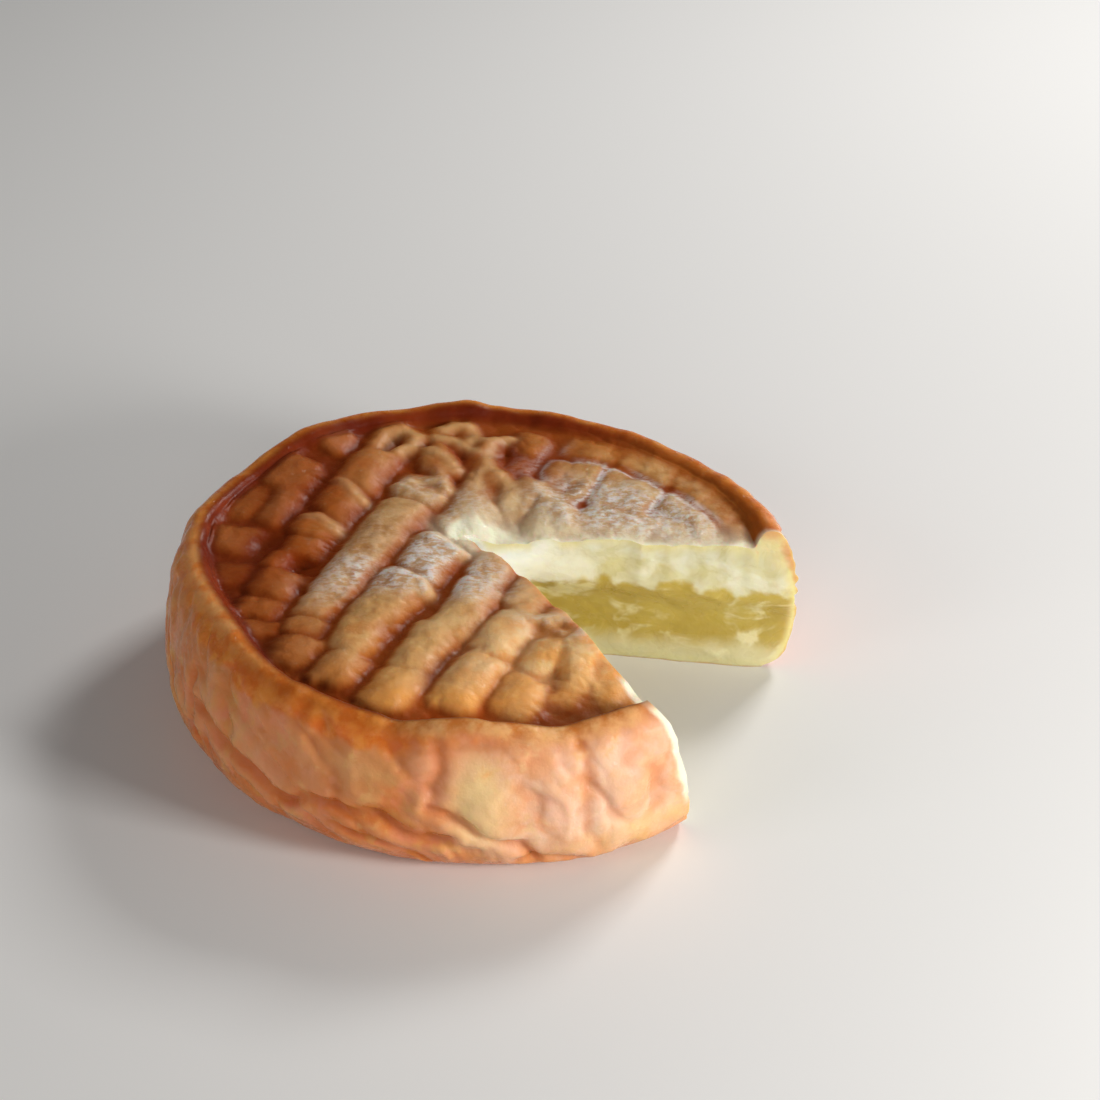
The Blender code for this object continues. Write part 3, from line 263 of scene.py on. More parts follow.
def pillows(x, y):
    """Height of the ridges above the groove floors."""
    w, v = ridge_frame(x, y)
    w, v = (w + 0.8 + 0.5 * noise(w / 13.0, v / 9.0, 0.0, 11) + 0.5 * noise(w / 5.0, v / 5.5, 2.0, 13) + 0.3 * noise(w / 2.4, v / 2.6, 2.0, 15),
            v + 0.8 * noise(w / 8.0, v / 12.0, 5.0, 12) + 0.6 * noise(w / 4.0, v / 5.0, 7.0, 14) + 0.3 * noise(w / 2.2, v / 2.8, 4.0, 16))
    top = np.zeros_like(w)
    for k, (pw, pv, half_w, half_v, height, slope, turn) in enumerate(PADS + FLATS):
        c, s = np.cos(np.radians(turn)), np.sin(np.radians(turn))
        dw, dv = (w - pw) * c + (v - pv) * s, -(w - pw) * s + (v - pv) * c
        dv = dv - slope * dw
        edge_w, edge_v = (0.85 * half_w, min(3.6, 0.8 * half_v)) if k < len(PADS) else (FLAT_EDGE, FLAT_EDGE)
        across = np.clip(1 - (half_w * 1.11 - np.abs(dw)) / edge_w, 0, 2)
        along = np.clip(1 - (half_v + 0.34 * edge_v - np.abs(dv)) / edge_v, 0, 2)
        edge = np.clip((across ** 2.2 + along ** 2.2) ** (1 / 2.2), 0, 1)
        crown = 1 - 0.16 * (dw / half_w) ** 2 - 0.10 * (dv / half_v) ** 2
        top = smax(top, height * (1 - edge ** 2.1) * crown, 0.4)
    for height, half, way in FOLDS:
        fold = 0.94 * height * (1 - smooth(np.clip(way_distance(w, v, way) / (1.25 * half), 0, 1)))
        blend = smooth(fold / (0.5 * height)) * np.maximum(1.2 - np.abs(top - fold), 0.0) ** 2 / 4.8
        top = np.maximum(top, fold) + blend
    for depth, half, way in SEAMS:
        top = top - depth * np.exp(-(way_distance(w, v, way) / half) ** 2)
    for hw, hv, half_w, half_v, depth, turn in HOLLOWS:
        c, s = np.cos(np.radians(turn)), np.sin(np.radians(turn))
        dw, dv = (w - hw) * c + (v - hv) * s, -(w - hw) * s + (v - hv) * c
        top = top - 0.8 * depth * np.exp(-((dw / half_w) ** 2) - (dv / half_v) ** 2)
    return top


def puckers(x, y):
    """Fine creases that cross the ridges, and small puffs of the skin."""
    w, v = ridge_frame(x, y)
    line = noise(w / 6.5 + 0.25 * noise(w / 3.0, v / 3.0, 9.0, 47), v / 2.6, 4.0, 45)
    where = smooth(0.5 + 1.2 * noise(w / 11.0, v / 11.0, 6.0, 46))
    crease = np.exp(-(line / 0.10) ** 2) * where
    return 0.30 * noise(x / 5.0, y / 5.0, 0.0, 41) + 0.15 * noise(x / 2.7, y / 2.7, 1.0, 42) \
        + 0.07 * noise(x / 1.4, y / 1.4, 3.0, 44) - 0.20 * crease


def cut_distance(x, y, far):
    """How far a place on the wheel is behind a cut, and how far along it from the apex."""
    a = np.radians(CUT_FAR if far else CUT_NEAR)
    dx, dy = x - CUT_APEX[0], y - CUT_APEX[1]
    off = -dx * np.sin(a) + dy * np.cos(a)
    return (off if far else -off), dx * np.cos(a) + dy * np.sin(a)


def droop(x, y):
    """Beside the cuts the ridges flatten and the skin rolls over into the gap: a factor for the ridges, and a drop."""
    keep, drop = 1.0, 0.0
    for far, depth, reach, flatten in ((True, 0.4, 3.6, 0.5), (False, 0.0, 1.6, 0.0)):
        off, along = cut_distance(x, y, far)
        near = np.hypot(off, np.minimum(along, 0.0))
        keep = keep * (1 - flatten * (1 - smooth(near / (reach * 2.0))))
        drop = drop + depth * (1 - smooth(near / reach)) ** 1.5
    return keep, drop


def floor_height(x, y):
    base = TOP_MID + TOP_TILT[0] * x + TOP_TILT[1] * y + TOP_DISH * y * y + 0.3 * noise(x / 17, y / 17, 1.0, 21)
    for cx, cy, reach, rise in RAISED:
        base = base + rise * np.exp(-((x - cx) ** 2 + (y - cy) ** 2) / reach ** 2)
    return base


# ---------------------------------------------------------------- the side
def side_relief(th, z):
    """How far the side stands out from its smooth form."""
    deg = np.degrees(th)
    arc = 0.95                                   # millimetres of side to a degree
    out = np.zeros(np.broadcast(deg, z).shape)
    for d0, z0, half_d, half_z, rise in SWELLINGS:
        dd = (deg - d0 + 180) % 360 - 180
        out = out + rise * np.exp(-np.abs(dd / half_d) ** 2.4 - np.abs((z - z0) / half_z) ** 2.4)
    cx, cy = np.cos(th), np.sin(th)
    wob_d = deg + 1.6 * noise(cx * 8, cy * 8, z / 5.0, 51)
    wob_z = z + 0.9 * noise(cx * 9, cy * 9, z / 5.0, 52)
    for depth, half, way in CREASES:
        mid = way[len(way) // 2][0]
        near = way_distance(((wob_d - mid + 180) % 360 - 180) * arc, wob_z, [((a - mid) * arc, h) for a, h in way])
        out = out - depth * np.exp(-(near / half) ** 2)
        out = out + 0.35 * depth * np.exp(-((near - 2.3 * half) / (1.3 * half)) ** 2)
    return out


def folds(th, z):
    """Puffy folds with soft creases between them, that lean over as they go round the side."""
    deg = np.degrees(th)
    lean = 0.030 - 0.026 * smooth((deg + 104) / 20.0) * smooth((-40 - deg) / 20.0)
    a = th + lean * (z - 14.0)
    a = a + 0.03 * noise(np.cos(th) * 9, np.sin(th) * 9, z / 5.0, 65)
    long = noise(np.cos(a) * 5.6, np.sin(a) * 5.6, z / 12.0, 66)
    short = noise(np.cos(a) * 10.5, np.sin(a) * 10.5, z / 7.0, 67)
    deep = 0.25 + 0.75 * smooth(0.5 + 1.1 * noise(np.cos(th) * 4, np.sin(th) * 4, z / 9.0, 68))
    return deep * (0.6 * long - 0.85 * np.exp(-(long / 0.13) ** 2) - 0.35 * np.exp(-(short / 0.12) ** 2) + 0.35)


# ---------------------------------------------------------------- the whole outside
STEP = 0.5                  # spacing of the samples down a profile
N_TOP, N_WALL, N_CREST, N_SHOULDER, N_SIDE, N_BASE = 96, 9, 5, 8, 52, 24


def profile(th):
    """Radius and height down the outside in each direction, from the middle of the top to under the foot, with
    its corners rounded. Rows run down the profile, columns round the wheel."""
    wide, foot, rim, crest = at(R_WIDE, th), at(R_FOOT, th), at(R_CREST, th), at(Z_CREST, th)
    c, s = np.cos(th), np.sin(th)
    ones = np.ones_like(th)
    inner = rim - RIM_FOOT + 0.5 * noise(c * 5, s * 5, 0.0, 31)
    u = np.linspace(0, 1, N_TOP + 1)[:, None]
    r1 = u * inner
    z1 = floor_height(r1 * c, r1 * s) - MOAT * smooth((r1 - inner + 8.0) / 8.0)
    z_moat = z1[-1]
    top_z = crest + 0.2 * noise(c * 9, s * 9, 2.0, 33)
    u = np.linspace(0, 1, N_WALL + 1)[1:, None]
    r2, z2 = inner + u * (rim - 1.5 - inner), z_moat + u * (top_z - 0.1 - z_moat)
    u = np.linspace(0, 1, N_CREST + 1)[1:, None]
    r3, z3 = rim - 1.5 + u * 2.6, top_z - 0.1 - 0.1 * u
    z_shoulder = crest - 3.0
    high = ((z_shoulder - BULGE_Z) / (crest - BULGE_Z)) ** 1.8
    r_shoulder = wide - (wide - rim - LIP_HALF) * high
    u = np.linspace(0, 1, N_SHOULDER + 1)[1:, None]
    r4, z4 = rim + 1.1 + u * (r_shoulder - rim - 1.1), top_z - 0.2 + u * (z_shoulder - top_z + 0.2)
    u = np.linspace(0, 1, N_SIDE + 1)[1:, None]
    z5 = z_shoulder * (1 - u) * ones
    low = np.clip((BULGE_Z - z5) / BULGE_Z, 0, 1) ** 2.3
    high = np.clip((z5 - BULGE_Z) / (crest - BULGE_Z), 0, 1) ** 1.8
    r5 = wide - (wide - foot) * low - (wide - rim - LIP_HALF) * high
    u = np.linspace(0, 1, N_BASE + 1)[1:, None]
    r6, z6 = foot - u * N_BASE * STEP, 0.0 * u * ones
    r = np.concatenate([r1, r2, r3, r4, r5, r6])
    z = np.concatenate([z1, z2, z3, z4, z5, z6])
    # round the corners: a blur down the profile, wider at the foot than at the rim
    n = len(r)
    place = np.arange(n) * STEP
    width = np.full(n, 0.9)
    base = N_TOP + N_WALL + N_CREST + N_SHOULDER + N_SIDE
    width += 1.5 * np.exp(-((np.arange(n) - base) * STEP / 7.0) ** 2)
    width[:N_TOP - 16] = 0.05
    ends = np.minimum(np.arange(n), n - 1 - np.arange(n)) * STEP
    width = np.minimum(width, 0.05 + ends / 3.0)
    kernel = np.exp(-0.5 * ((place[:, None] - place[None, :]) / width[:, None]) ** 2)
    kernel /= kernel.sum(1, keepdims=True)
    return kernel @ r, kernel @ z


def outside(th, fine=True):
    """The finished outside in each direction: arrays of x, y, z, rows down the profile."""
    r, z = profile(th)
    c, s = np.cos(th), np.sin(th)
    n = len(r)
    row = np.arange(n)[:, None]
    rim, crest = at(R_CREST, th), at(Z_CREST, th)
    inner = rim - RIM_FOOT
    # side: swellings, creases and small lumps, fading out over the rim and at the flat underside
    a0 = N_TOP + N_WALL + N_CREST
    base = a0 + N_SHOULDER + N_SIDE
    side = smooth((row - a0 + 2) / 12.0) * smooth((base + 2 - row) / 8.0)
    th2 = np.broadcast_to(th, r.shape)
    lump = side_relief(th2, z) + 0.55 * noise(c * 8, s * 8, z / 7.0, 61)
    if fine:
        lump = lump + 0.20 * fbm(c * 17, s * 17, z / 3.2, 2, 62) + folds(th2, z)
    r = r + lump * side
    # rim: a little uneven
    crown = smooth((row - N_TOP) / 6.0) * smooth((a0 + 12 - row) / 10.0)
    r = r + crown * 0.45 * noise(c * 10, s * 10, z / 7.0, 71)
    z = z + crown * 0.25 * noise(c * 14, s * 14, z / 5.0, 72)
    # top: the ridges, dying out against the rim
    x, y = r * c, r * s
    mask = smooth((inner + 2.0 - r) / 2.6) * (row <= N_TOP + 4)
    keep, drop = droop(x, y)
    z = z + mask * (pillows(x, y) * keep - drop)
    if fine:
        z = z + smooth((rim - r) / 3.0) * (row <= N_TOP + N_WALL) * puckers(x, y)
    z = np.where(row >= base + 4, np.minimum(z, 0.0) * 0.0, np.maximum(z, 0.0))
    return x, y, z


# ---------------------------------------------------------------- the cuts
def cut_wall(along, z, far):
    """How far a cut face stands into the gap beyond its plane: it leans and sags out towards the outside, and has
    lumps and smears in it."""
    seed = 90 if far else 80
    out = 0.35 * noise(along / 14, z / 9, 0.0, seed) + 0.25 * noise(along / 6.0 + z / 16.0, z / 3.2, 1.0, seed + 1)
    out = out + 0.16 * noise(along / 3.4 + z / 8.0, z / 1.5, 4.0, seed + 2)
    outer = smooth((along - 8.0) / 48.0)
    if far:
        lip = 23.4 - 3.4 * smooth(along / 50.0) + 1.6 * noise(along / 6.0, 0.0, 2.0, 95)     # where the belly is fullest
        belly = smooth((26.5 - z) / 6.5) * smooth((z - lip + 10.5) / 6.5)
        out = out + belly * (3.1 - 1.7 * smooth(along / 34.0))
        out = out + outer * (0.8 + 0.24 * np.clip(27.0 - z, -6.0, 11.0))
    else:
        out = out + outer * (0.19 * np.clip(24.0 - z, 0.0, 24.0) - 0.6 * np.clip(z - 24.0, 0.0, 5.0))
        out = out + 0.6 * smooth((z - 3.0) / 5.0) * smooth((25.0 - z) / 5.0) * smooth(along / 14.0)
        # this face is bowed into the gap along its middle
        out = out + 2.2 * smooth((along + 2.0) / 22.0) * smooth((62.0 - along) / 30.0) * (0.55 + 0.45 * smooth(z / 14.0))
    if far:
        high = smooth((z - 16.0) / 2.5) * smooth((27.0 - z) / 2.0)
        out = out + high * smooth((along - 20.0) / 10.0) * smooth((58.0 - along) / 8.0) * 0.55 * noise(along / 3.8, z / 4.0, 2.0, 97)
        out = out - 0.9 * smooth((17.5 + 1.5 * noise(along / 7.0, 0.0, 1.0, 98) - z) / 6.0) * smooth((z - 3.0) / 5.0) * smooth(along / 14.0)
    return out * smooth(along / 4.0)



# ---------------------------------------------------------------- the mesh
MIDDLE = (0.07, -0.85)      # the wheel's middle, taken off so that the outline is centred on the origin
SEGMENTS = 640
CUTTER_REACH = 60.0
CUTTER_Z = (-3.0, 33.0)
CUT_STEP = 0.5


def ring_rows():
    foot = N_TOP + N_WALL + N_CREST + N_SHOULDER + N_SIDE
    return list(range(1, foot + 8)) + [foot + 12, foot + 20]


def drape(x, y, z, theta):
    """The skin lies softer over the ridges than their plain form: shallower grooves, rounder pads, most at the ends of the rows."""
    r = np.hypot(x, y)
    w, v = ridge_frame(x, y)
    row = np.arange(len(z))[:, None]
    mask = smooth((at(R_CREST, theta) - RIM_FOOT + 2.0 - r) / 2.6) * (row <= N_TOP + 4)
    keep, drop = droop(x, y)
    share = np.clip(0.42 + 0.40 * blob(w, v, 29, -24, 12, 15, 0, 3) + 0.28 * blob(w, v, -46, 0, 8, 36, 0, 3)
                    + 0.15 * blob(w, v, 4, -36, 26, 7, 0, 3), 0, 0.85)
    cell = 0.4
    g = np.arange(-60, 60, cell)
    gx, gy = np.meshgrid(g, g, indexing="ij")
    high = pillows(gx, gy)
    change = soft_copy(high, 1.35 / cell) - soft_copy(high, 0.2 / cell)
    return z + mask * keep * share * pick(change, (x + 60) / cell, (y + 60) / cell)


def wheel_mesh():
    theta = np.radians(np.arange(SEGMENTS) * 360.0 / SEGMENTS - 180.0)
    x, y, z = outside(theta)
    z = drape(x, y, z, theta)
    verts, quads, tris, rings = [[(x[0, 0], y[0, 0], z[0].mean())]], [], [], []
    count = 1
    for row in ring_rows():
        radius = row * STEP
        every = 1 if radius > 22 or row > N_TOP else 2 if radius > 10 else 4
        pick = np.arange(0, SEGMENTS, every)
        verts.append(np.stack([x[row, pick], y[row, pick], z[row, pick]], 1))
        rings.append(np.arange(len(pick)) + count)
        count += len(pick)
    first = rings[0]
    tris.append(np.stack([np.zeros_like(first), first, np.roll(first, -1)], 1))
    for inner, outer in zip(rings[:-1], rings[1:]):
        nxt = np.roll(inner, -1)
        if len(outer) == len(inner):
            quads.append(np.stack([inner, outer, np.roll(outer, -1), nxt], 1))
        else:
            a, b, c = outer[0::2], outer[1::2], np.roll(outer[0::2], -1)
            tris += [np.stack([inner, a, b], 1), np.stack([inner, b, nxt], 1), np.stack([nxt, b, c], 1)]
    faces = np.concatenate(quads).tolist() + np.concatenate(tris).tolist() + [rings[-1][::-1].tolist()]
    return np.concatenate(verts), faces


def gap_mesh():
    """The gap as a closed body with the two uneven cut faces, closed off beyond the wheel."""
    rows = int(round((CUTTER_Z[1] - CUTTER_Z[0]) / CUT_STEP)) + 1
    cols = int(round(CUTTER_REACH / CUT_STEP)) + 1
    zs = np.linspace(CUTTER_Z[0], CUTTER_Z[1], rows)
    along = np.append(np.linspace(0, CUTTER_REACH, cols), 78.0)
    reach = len(along)
    verts, ids = [], []
    count = 0
    for far in (False, True):
        a = np.radians(CUT_FAR if far else CUT_NEAR)
        side = -1.0 if far else 1.0
        A, Z = np.meshgrid(along, zs, indexing="ij")
        off = cut_wall(A, Z, far)
        px = CUT_APEX[0] + A * np.cos(a) - off * side * np.sin(a)
        py = CUT_APEX[1] + A * np.sin(a) + off * side * np.cos(a)
        grid = np.arange(reach * rows).reshape(reach, rows) + count
        block = np.stack([px, py, Z], -1)
        if far:
            grid = np.concatenate([ids[0][:1], np.arange((reach - 1) * rows).reshape(reach - 1, rows) + count])
            block = block[1:]
        verts.append(block.reshape(-1, 3))
        ids.append(grid)
        count += block.shape[0] * rows
    n, f = ids
    near = np.stack([n[:-1, :-1], n[1:, :-1], n[1:, 1:], n[:-1, 1:]], -1).reshape(-1, 4)
    far = np.stack([f[:-1, :-1], f[:-1, 1:], f[1:, 1:], f[1:, :-1]], -1).reshape(-1, 4)
    end = np.stack([n[-1, :-1], f[-1, :-1], f[-1, 1:], n[-1, 1:]], -1)
    faces = near.tolist() + far.tolist() + end.tolist()
    for k, flip in ((0, True), (rows - 1, False)):
        loop = n[:, k].tolist() + f[:0:-1, k].tolist()
        faces.append(loop[::-1] if flip else loop)
    return np.concatenate(verts), faces


def make_object(name, verts, faces):
    mesh = bpy.data.meshes.new(name)
    places = (np.asarray(verts, float) - [MIDDLE[0], MIDDLE[1], 0.0]) / 1000.0
    mesh.from_pydata(places.tolist(), [], faces)
    obj = bpy.data.objects.new(name, mesh)
    bpy.context.scene.collection.objects.link(obj)
    return obj


def blob(x, y, x0, y0, rx, ry, turn=0.0, power=2.0):
    c, s = np.cos(np.radians(turn)), np.sin(np.radians(turn))
    dx, dy = (x - x0) * c + (y - y0) * s, -(x - x0) * s + (y - y0) * c
    return np.exp(-(((dx / rx) ** 2 + (dy / ry) ** 2) ** (power / 2)))


def swath(deg, z, d0, z0, rd, rz, power=2.0):
    dd = (deg - d0 + 180) % 360 - 180
    return np.exp(-(((dd / rd) ** 2 + ((z - z0) / rz) ** 2) ** (power / 2)))


def soft_copy(field, sigma):
    """A grid of heights blurred by a number of cells."""
    fu, fv = np.fft.fftfreq(field.shape[0])[:, None], np.fft.rfftfreq(field.shape[1])[None, :]
    return np.fft.irfft2(np.fft.rfft2(field) * np.exp(-2 * (np.pi * sigma) ** 2 * (fu ** 2 + fv ** 2)), field.shape)


def pick(field, u, v):
    """A grid's value between its cells."""
    u, v = np.clip(u, 0, field.shape[0] - 1.001), np.clip(v, 0, field.shape[1] - 1.001)
    i, j = u.astype(int), v.astype(int)
    a, b = u - i, v - j
    return (field[i, j] * (1 - a) + field[i + 1, j] * a) * (1 - b) + (field[i, j + 1] * (1 - a) + field[i + 1, j + 1] * a) * b


def top_forms(x, y):
    """How much a place on the top stands out from its surroundings, and how steeply it falls across the ridges."""
    cell = 0.4
    g = np.arange(-60, 60, cell)
    gx, gy = np.meshgrid(g, g, indexing="ij")
    high = pillows(gx, gy) + puckers(gx, gy)
    u, v = (x + 60) / cell, (y + 60) / cell
    stand = soft_copy(high, 0.5 / cell) - soft_copy(high, 1.9 / cell)
    crisp = soft_copy(high, 0.25 / cell) - soft_copy(high, 0.8 / cell)
    du, dv = np.gradient(soft_copy(high, 0.5 / cell), cell)
    a = np.radians(RIDGE_DIR)
    return pick(stand, u, v), pick(np.cos(a) * dv - np.sin(a) * du, u, v), pick(crisp, u, v)


def side_forms(th, z):
    """How much a place on the side stands out from its surroundings."""
    cell = 0.5
    gd, gz = np.meshgrid(np.arange(-180, 180, cell), np.arange(-4, 34, cell), indexing="ij")
    gt = np.radians(gd)
    c, s = np.cos(gt), np.sin(gt)
    out = side_relief(gt, gz) + 0.55 * noise(c * 8, s * 8, gz / 7.0, 61) + 0.20 * fbm(c * 17, s * 17, gz / 3.2, 2, 62) + folds(gt, gz)
    return pick(soft_copy(out, 0.6 / cell) - soft_copy(out, 2.4 / cell), (np.degrees(th) + 180) % 360 / cell, (z + 4) / cell)


def finish_masks(mesh):
    """Per-point masks that place each colour of the rind and paste, and the painted light and shade laid over them."""
    n = len(mesh.vertices)
    co = np.empty(n * 3)
    mesh.vertices.foreach_get("co", co)
    co = co.reshape(-1, 3) * 1000.0 + [MIDDLE[0], MIDDLE[1], 0.0]
    x, y, z = co.T
    r, th = np.hypot(x, y), np.arctan2(y, x)
    deg = np.degrees(th)
    w, v = ridge_frame(x, y)
    rim, crest, wide = at(R_CREST, th), at(Z_CREST, th), at(R_WIDE, th)
    inner = rim - RIM_FOOT
    masks = {}
    ridge = np.clip(pillows(x, y) / (2.6 - 1.4 * blob(w, v, 17, 33, 21, 15, -15, 4)), 0, 1)
    masks["ridge"] = ridge
    masks["inwall"] = smooth((r - inner + 1.2) / 2.4) * smooth((rim + 0.3 - r) / 2.0)
    masks["rim"] = smooth((r - inner - 1.0) / 3.0)
    masks["side"] = smooth((r - rim - 0.3) / 3.2) * (1 - smooth((z - crest + 1.6) / 3.0)) + (z < 15) * 1.0
    masks["side"] = np.clip(masks["side"], 0, 1) * (r > rim - 4)
    stand, slope, crisp = top_forms(x, y)
    # hill and dale: the top's small rises and hollows, used to lighten the rises and darken the hollows, partly the
    # rind's own tone and partly painted light and shade
    masks["hill"] = np.clip(stand / 0.40, 0, 1)
    masks["dale"] = np.clip(-stand / 0.50, 0, 1)
    # steep: where the ridges fall away on their right-hand flanks; tan and beige are held back there, painting these
    # flanks darker, partly the rind's darker orange and partly painted shade
    masks["steep"] = smooth((slope - 0.12) / 0.55)
    masks["crisp"] = np.clip(crisp / 0.10, -1, 1) * 0.5 + 0.5
    # the side's rises and hollows, used for painted light on the rises and painted shade in the hollows
    stand = side_forms(th, z)
    masks["swell"] = np.clip(stand / 0.30, 0, 1)
    masks["gully"] = np.clip(-stand / 0.30, 0, 1)
    # how close to the rim the top is
    masks["edge"] = smooth((r - inner + 13.0) / 13.0)
    # the left of the top: deeper orange rind, darkened further with painted shade where the light falls off
    masks["left_dark_and_shade"] = np.clip(blob(w, v, -44, 10, 11, 34, 0, 3) + 0.8 * blob(w, v, -36, -22, 10, 12, -30, 2)
                                + 0.6 * blob(w, v, -18, -36, 22, 7, -22, 3) + 0.15 * blob(w, v, 26, -31, 12, 9, 0, 3), 0, 1)
    masks["beige"] = np.clip(blob(w, v, 24, 30, 20, 13, -25, 3) + blob(w, v, 4, 20, 9, 12, 0, 3)
                             + 0.6 * blob(w, v, -9, 0, 18, 22, 0, 3) + 0.6 * blob(w, v, -21, -6, 6, 24, 0, 3), 0, 1)
    masks["bloom"] = np.clip(
        1.3 * blob(w, v, -9, 1, 6, 6.5, 0, 3) + 0.9 * blob(w, v, -12, -9, 9, 5, 10, 3) + 0.8 * blob(w, v, 1, -4, 7, 7, 0, 3)
        + 1.1 * blob(w, v, 14, 28, 9, 10, 0, 3) + 1.0 * blob(w, v, 27, 26, 8, 8, -20, 3) + 0.6 * blob(w, v, 3, 26, 6, 8, 0, 3)
        + 0.7 * blob(w, v, 20, -11.5, 7, 3, 0, 2) + 0.45 * blob(w, v, -21, -14, 6, 8, 0, 3)
        + 0.35 * blob(w, v, -20, 18, 7, 5, 0, 3) + 0.5 * blob(w, v, -10, 14, 6, 7, 0, 3)
        + 0.12 * blob(w, v, -21, 0, 6, 9, 0, 3) + 0.5 * blob(w, v, 14, 20, 8, 6, 0, 3), 0, 1)
    masks["cream"] = np.clip(swath(deg, z, -89.5, 16, 4.7, 9.0, 3) + 0.55 * swath(deg, z, -60, 6, 9, 4, 2)
                             + 0.4 * swath(deg, z, -112, 20, 8, 4, 2), 0, 1)
    masks["pink"] = np.clip(0.9 * swath(deg, z, -76, 17, 3.2, 9, 3) + 0.8 * swath(deg, z, -62, 16, 7, 9, 3)
                            + 0.5 * swath(deg, z, -127, 17, 9, 6, 2) + 0.45 * swath(deg, z, -98, 22, 4, 5, 2)
                            + 0.4 * swath(deg, z, -150, 14, 8, 7, 2) + 0.4 * swath(deg, z, 30, 14, 14, 7, 2)
                            + 0.4 * swath(deg, z, 100, 14, 14, 7, 2), 0, 1)
    # the side's creases, painted darker as shade
    masks["crease"] = np.clip(-side_relief(th, z) / 0.8, 0, 1)
    # pale: the front-right of the side, paler peach partly of its own and partly painted light where the lamp falls
    masks["pale"] = np.clip(swath(deg, z, -68, 14, 26, 16, 4), 0, 1)
    masks["yellow"] = np.clip(0.7 * swath(deg, z, -140, 19, 9, 6, 2) + 0.6 * swath(deg, z, -165, 12, 8, 8, 2)
                              + 0.6 * swath(deg, z, -104, 16, 5, 7, 2) + 0.5 * swath(deg, z, -60, 3, 10, 4, 2)
                              + 0.5 * swath(deg, z, 150, 12, 10, 8, 2) + 0.5 * swath(deg, z, 60, 10, 10, 8, 2), 0, 1)
    reach = 5.3 + 1.6 * noise(np.cos(th) * 6, np.sin(th) * 6, 0.0, 111) + 0.9 * noise(np.cos(th) * 16, np.sin(th) * 16, z / 5.0, 112)
    masks["amber"] = np.clip(smooth((z - crest + reach) / 4.0) * (0.95 * swath(deg, 0, -131, 0, 31, 1, 5)
                                                               + 0.30 + 0.5 * swath(deg, 0, 110, 0, 90, 1, 6)), 0, 1)
    masks["edge"] = masks["edge"] * (1 - 0.85 * masks["beige"])
    # apex: paler cream paste near where the cuts meet, with painted light where it faces the lamps
    masks["apex"] = np.clip(1.3 - np.hypot(x - CUT_APEX[0] - 4.0, y - CUT_APEX[1]) / 17.0, 0, 1)
    masks["torn"] = np.clip(swath(deg, 0, -80, 0, 24, 1, 6) * smooth((z - crest + 2.5) / 2.0), 0, 1)
    masks["lefttan"] = np.clip(swath(deg, z, -164, 27, 26, 7, 3), 0, 1)
    # painted light: the right part of the rim's inner wall, lighter where the lamp falls
    masks["right_wall_painted_light"] = np.clip(swath(deg, 0, 24, 0, 34, 1, 4), 0, 1)
    # painted shade: a dark line along the foot of the rim's inner wall, the moat's shadow
    masks["moat_painted_shade"] = np.exp(-((r - inner - 0.2) / 1.1) ** 2) * swath(deg, 0, -120, 0, 75, 1, 4)
    # painted light: the front-right of the top lightened where the lamp falls on it
    masks["sunny"] = np.clip(blob(w, v, 26, -20, 22, 26, 0, 3), 0, 1)
    masks["fold"] = np.clip(np.max([np.exp(-(way_distance(w, v, way) / 1.3) ** 2) for height, half, way in FOLDS], axis=0), 0, 1) * (r < inner)
    # foot: painted shade, the side darker and redder towards the foot under the bulge
    masks["foot"] = smooth((9.0 - z) / 8.0)
    # beyond the cross crease the flat pads have no powder
    beyond = smooth((v - np.interp(w, [-1.0, 4.5, 9.8, 15.0, 18.6, 25.0, 31.5, 38.5],
                                   [38.6, 39.3, 39.8, 38.4, 36.6, 34.6, 31.2, 26.2])) / 1.6 + 0.3) * smooth((w + 4.0) / 4.0)
    for name in ("beige", "bloom"):
        masks[name] = masks[name] * (1 - (0.45 if name == "beige" else 0.9) * beyond)
    masks["bloom"] = masks["bloom"] * (1 - 0.65 * smooth((v - 29.0) / 7.0) * smooth((w + 8.0) / 4.0))
    masks["crisp"] = 0.5 + (masks["crisp"] - 0.5) * (1 - 0.9 * smooth((v - 18.0) / 5.0) * smooth((w + 8.0) / 4.0))
    masks["bloom"] = masks["bloom"] * (1 - 0.9 * np.clip(2.0 * (masks["crisp"] - 0.5), 0, 1) * smooth((v - 26.0) / 4.0)) * (1 - 0.7 * smooth((v - 35.0) / 4.0))
    masks["edge"] = masks["edge"] * (1 - 0.7 * beyond)
    # painted light: the front-right pads made brighter and more orange where the lamps fall
    masks["front_painted_light"] = blob(w, v, 30, -22, 19, 14, -20, 3) * (r < inner)
    # browner rind on the left rows, and painted shade over the middle-left rows
    masks["brown_and_painted_shade"] = np.clip(blob(w, v, -34, -4, 7.6, 36, 0, 3) + 0.5 * blob(w, v, -21, -33, 6, 9, 0, 3) + 1.0 * blob(w, v, -14, 33, 16, 12, 0, 3) + 0.28 * blob(w, v, -17, -2, 12, 26, 0, 3), 0, 1) * (r < inner)
    masks["ends"] = smooth((r - 30.0) / 10.0) * swath(deg, 0, -84, 0, 44, 1, 4) * (r < inner)
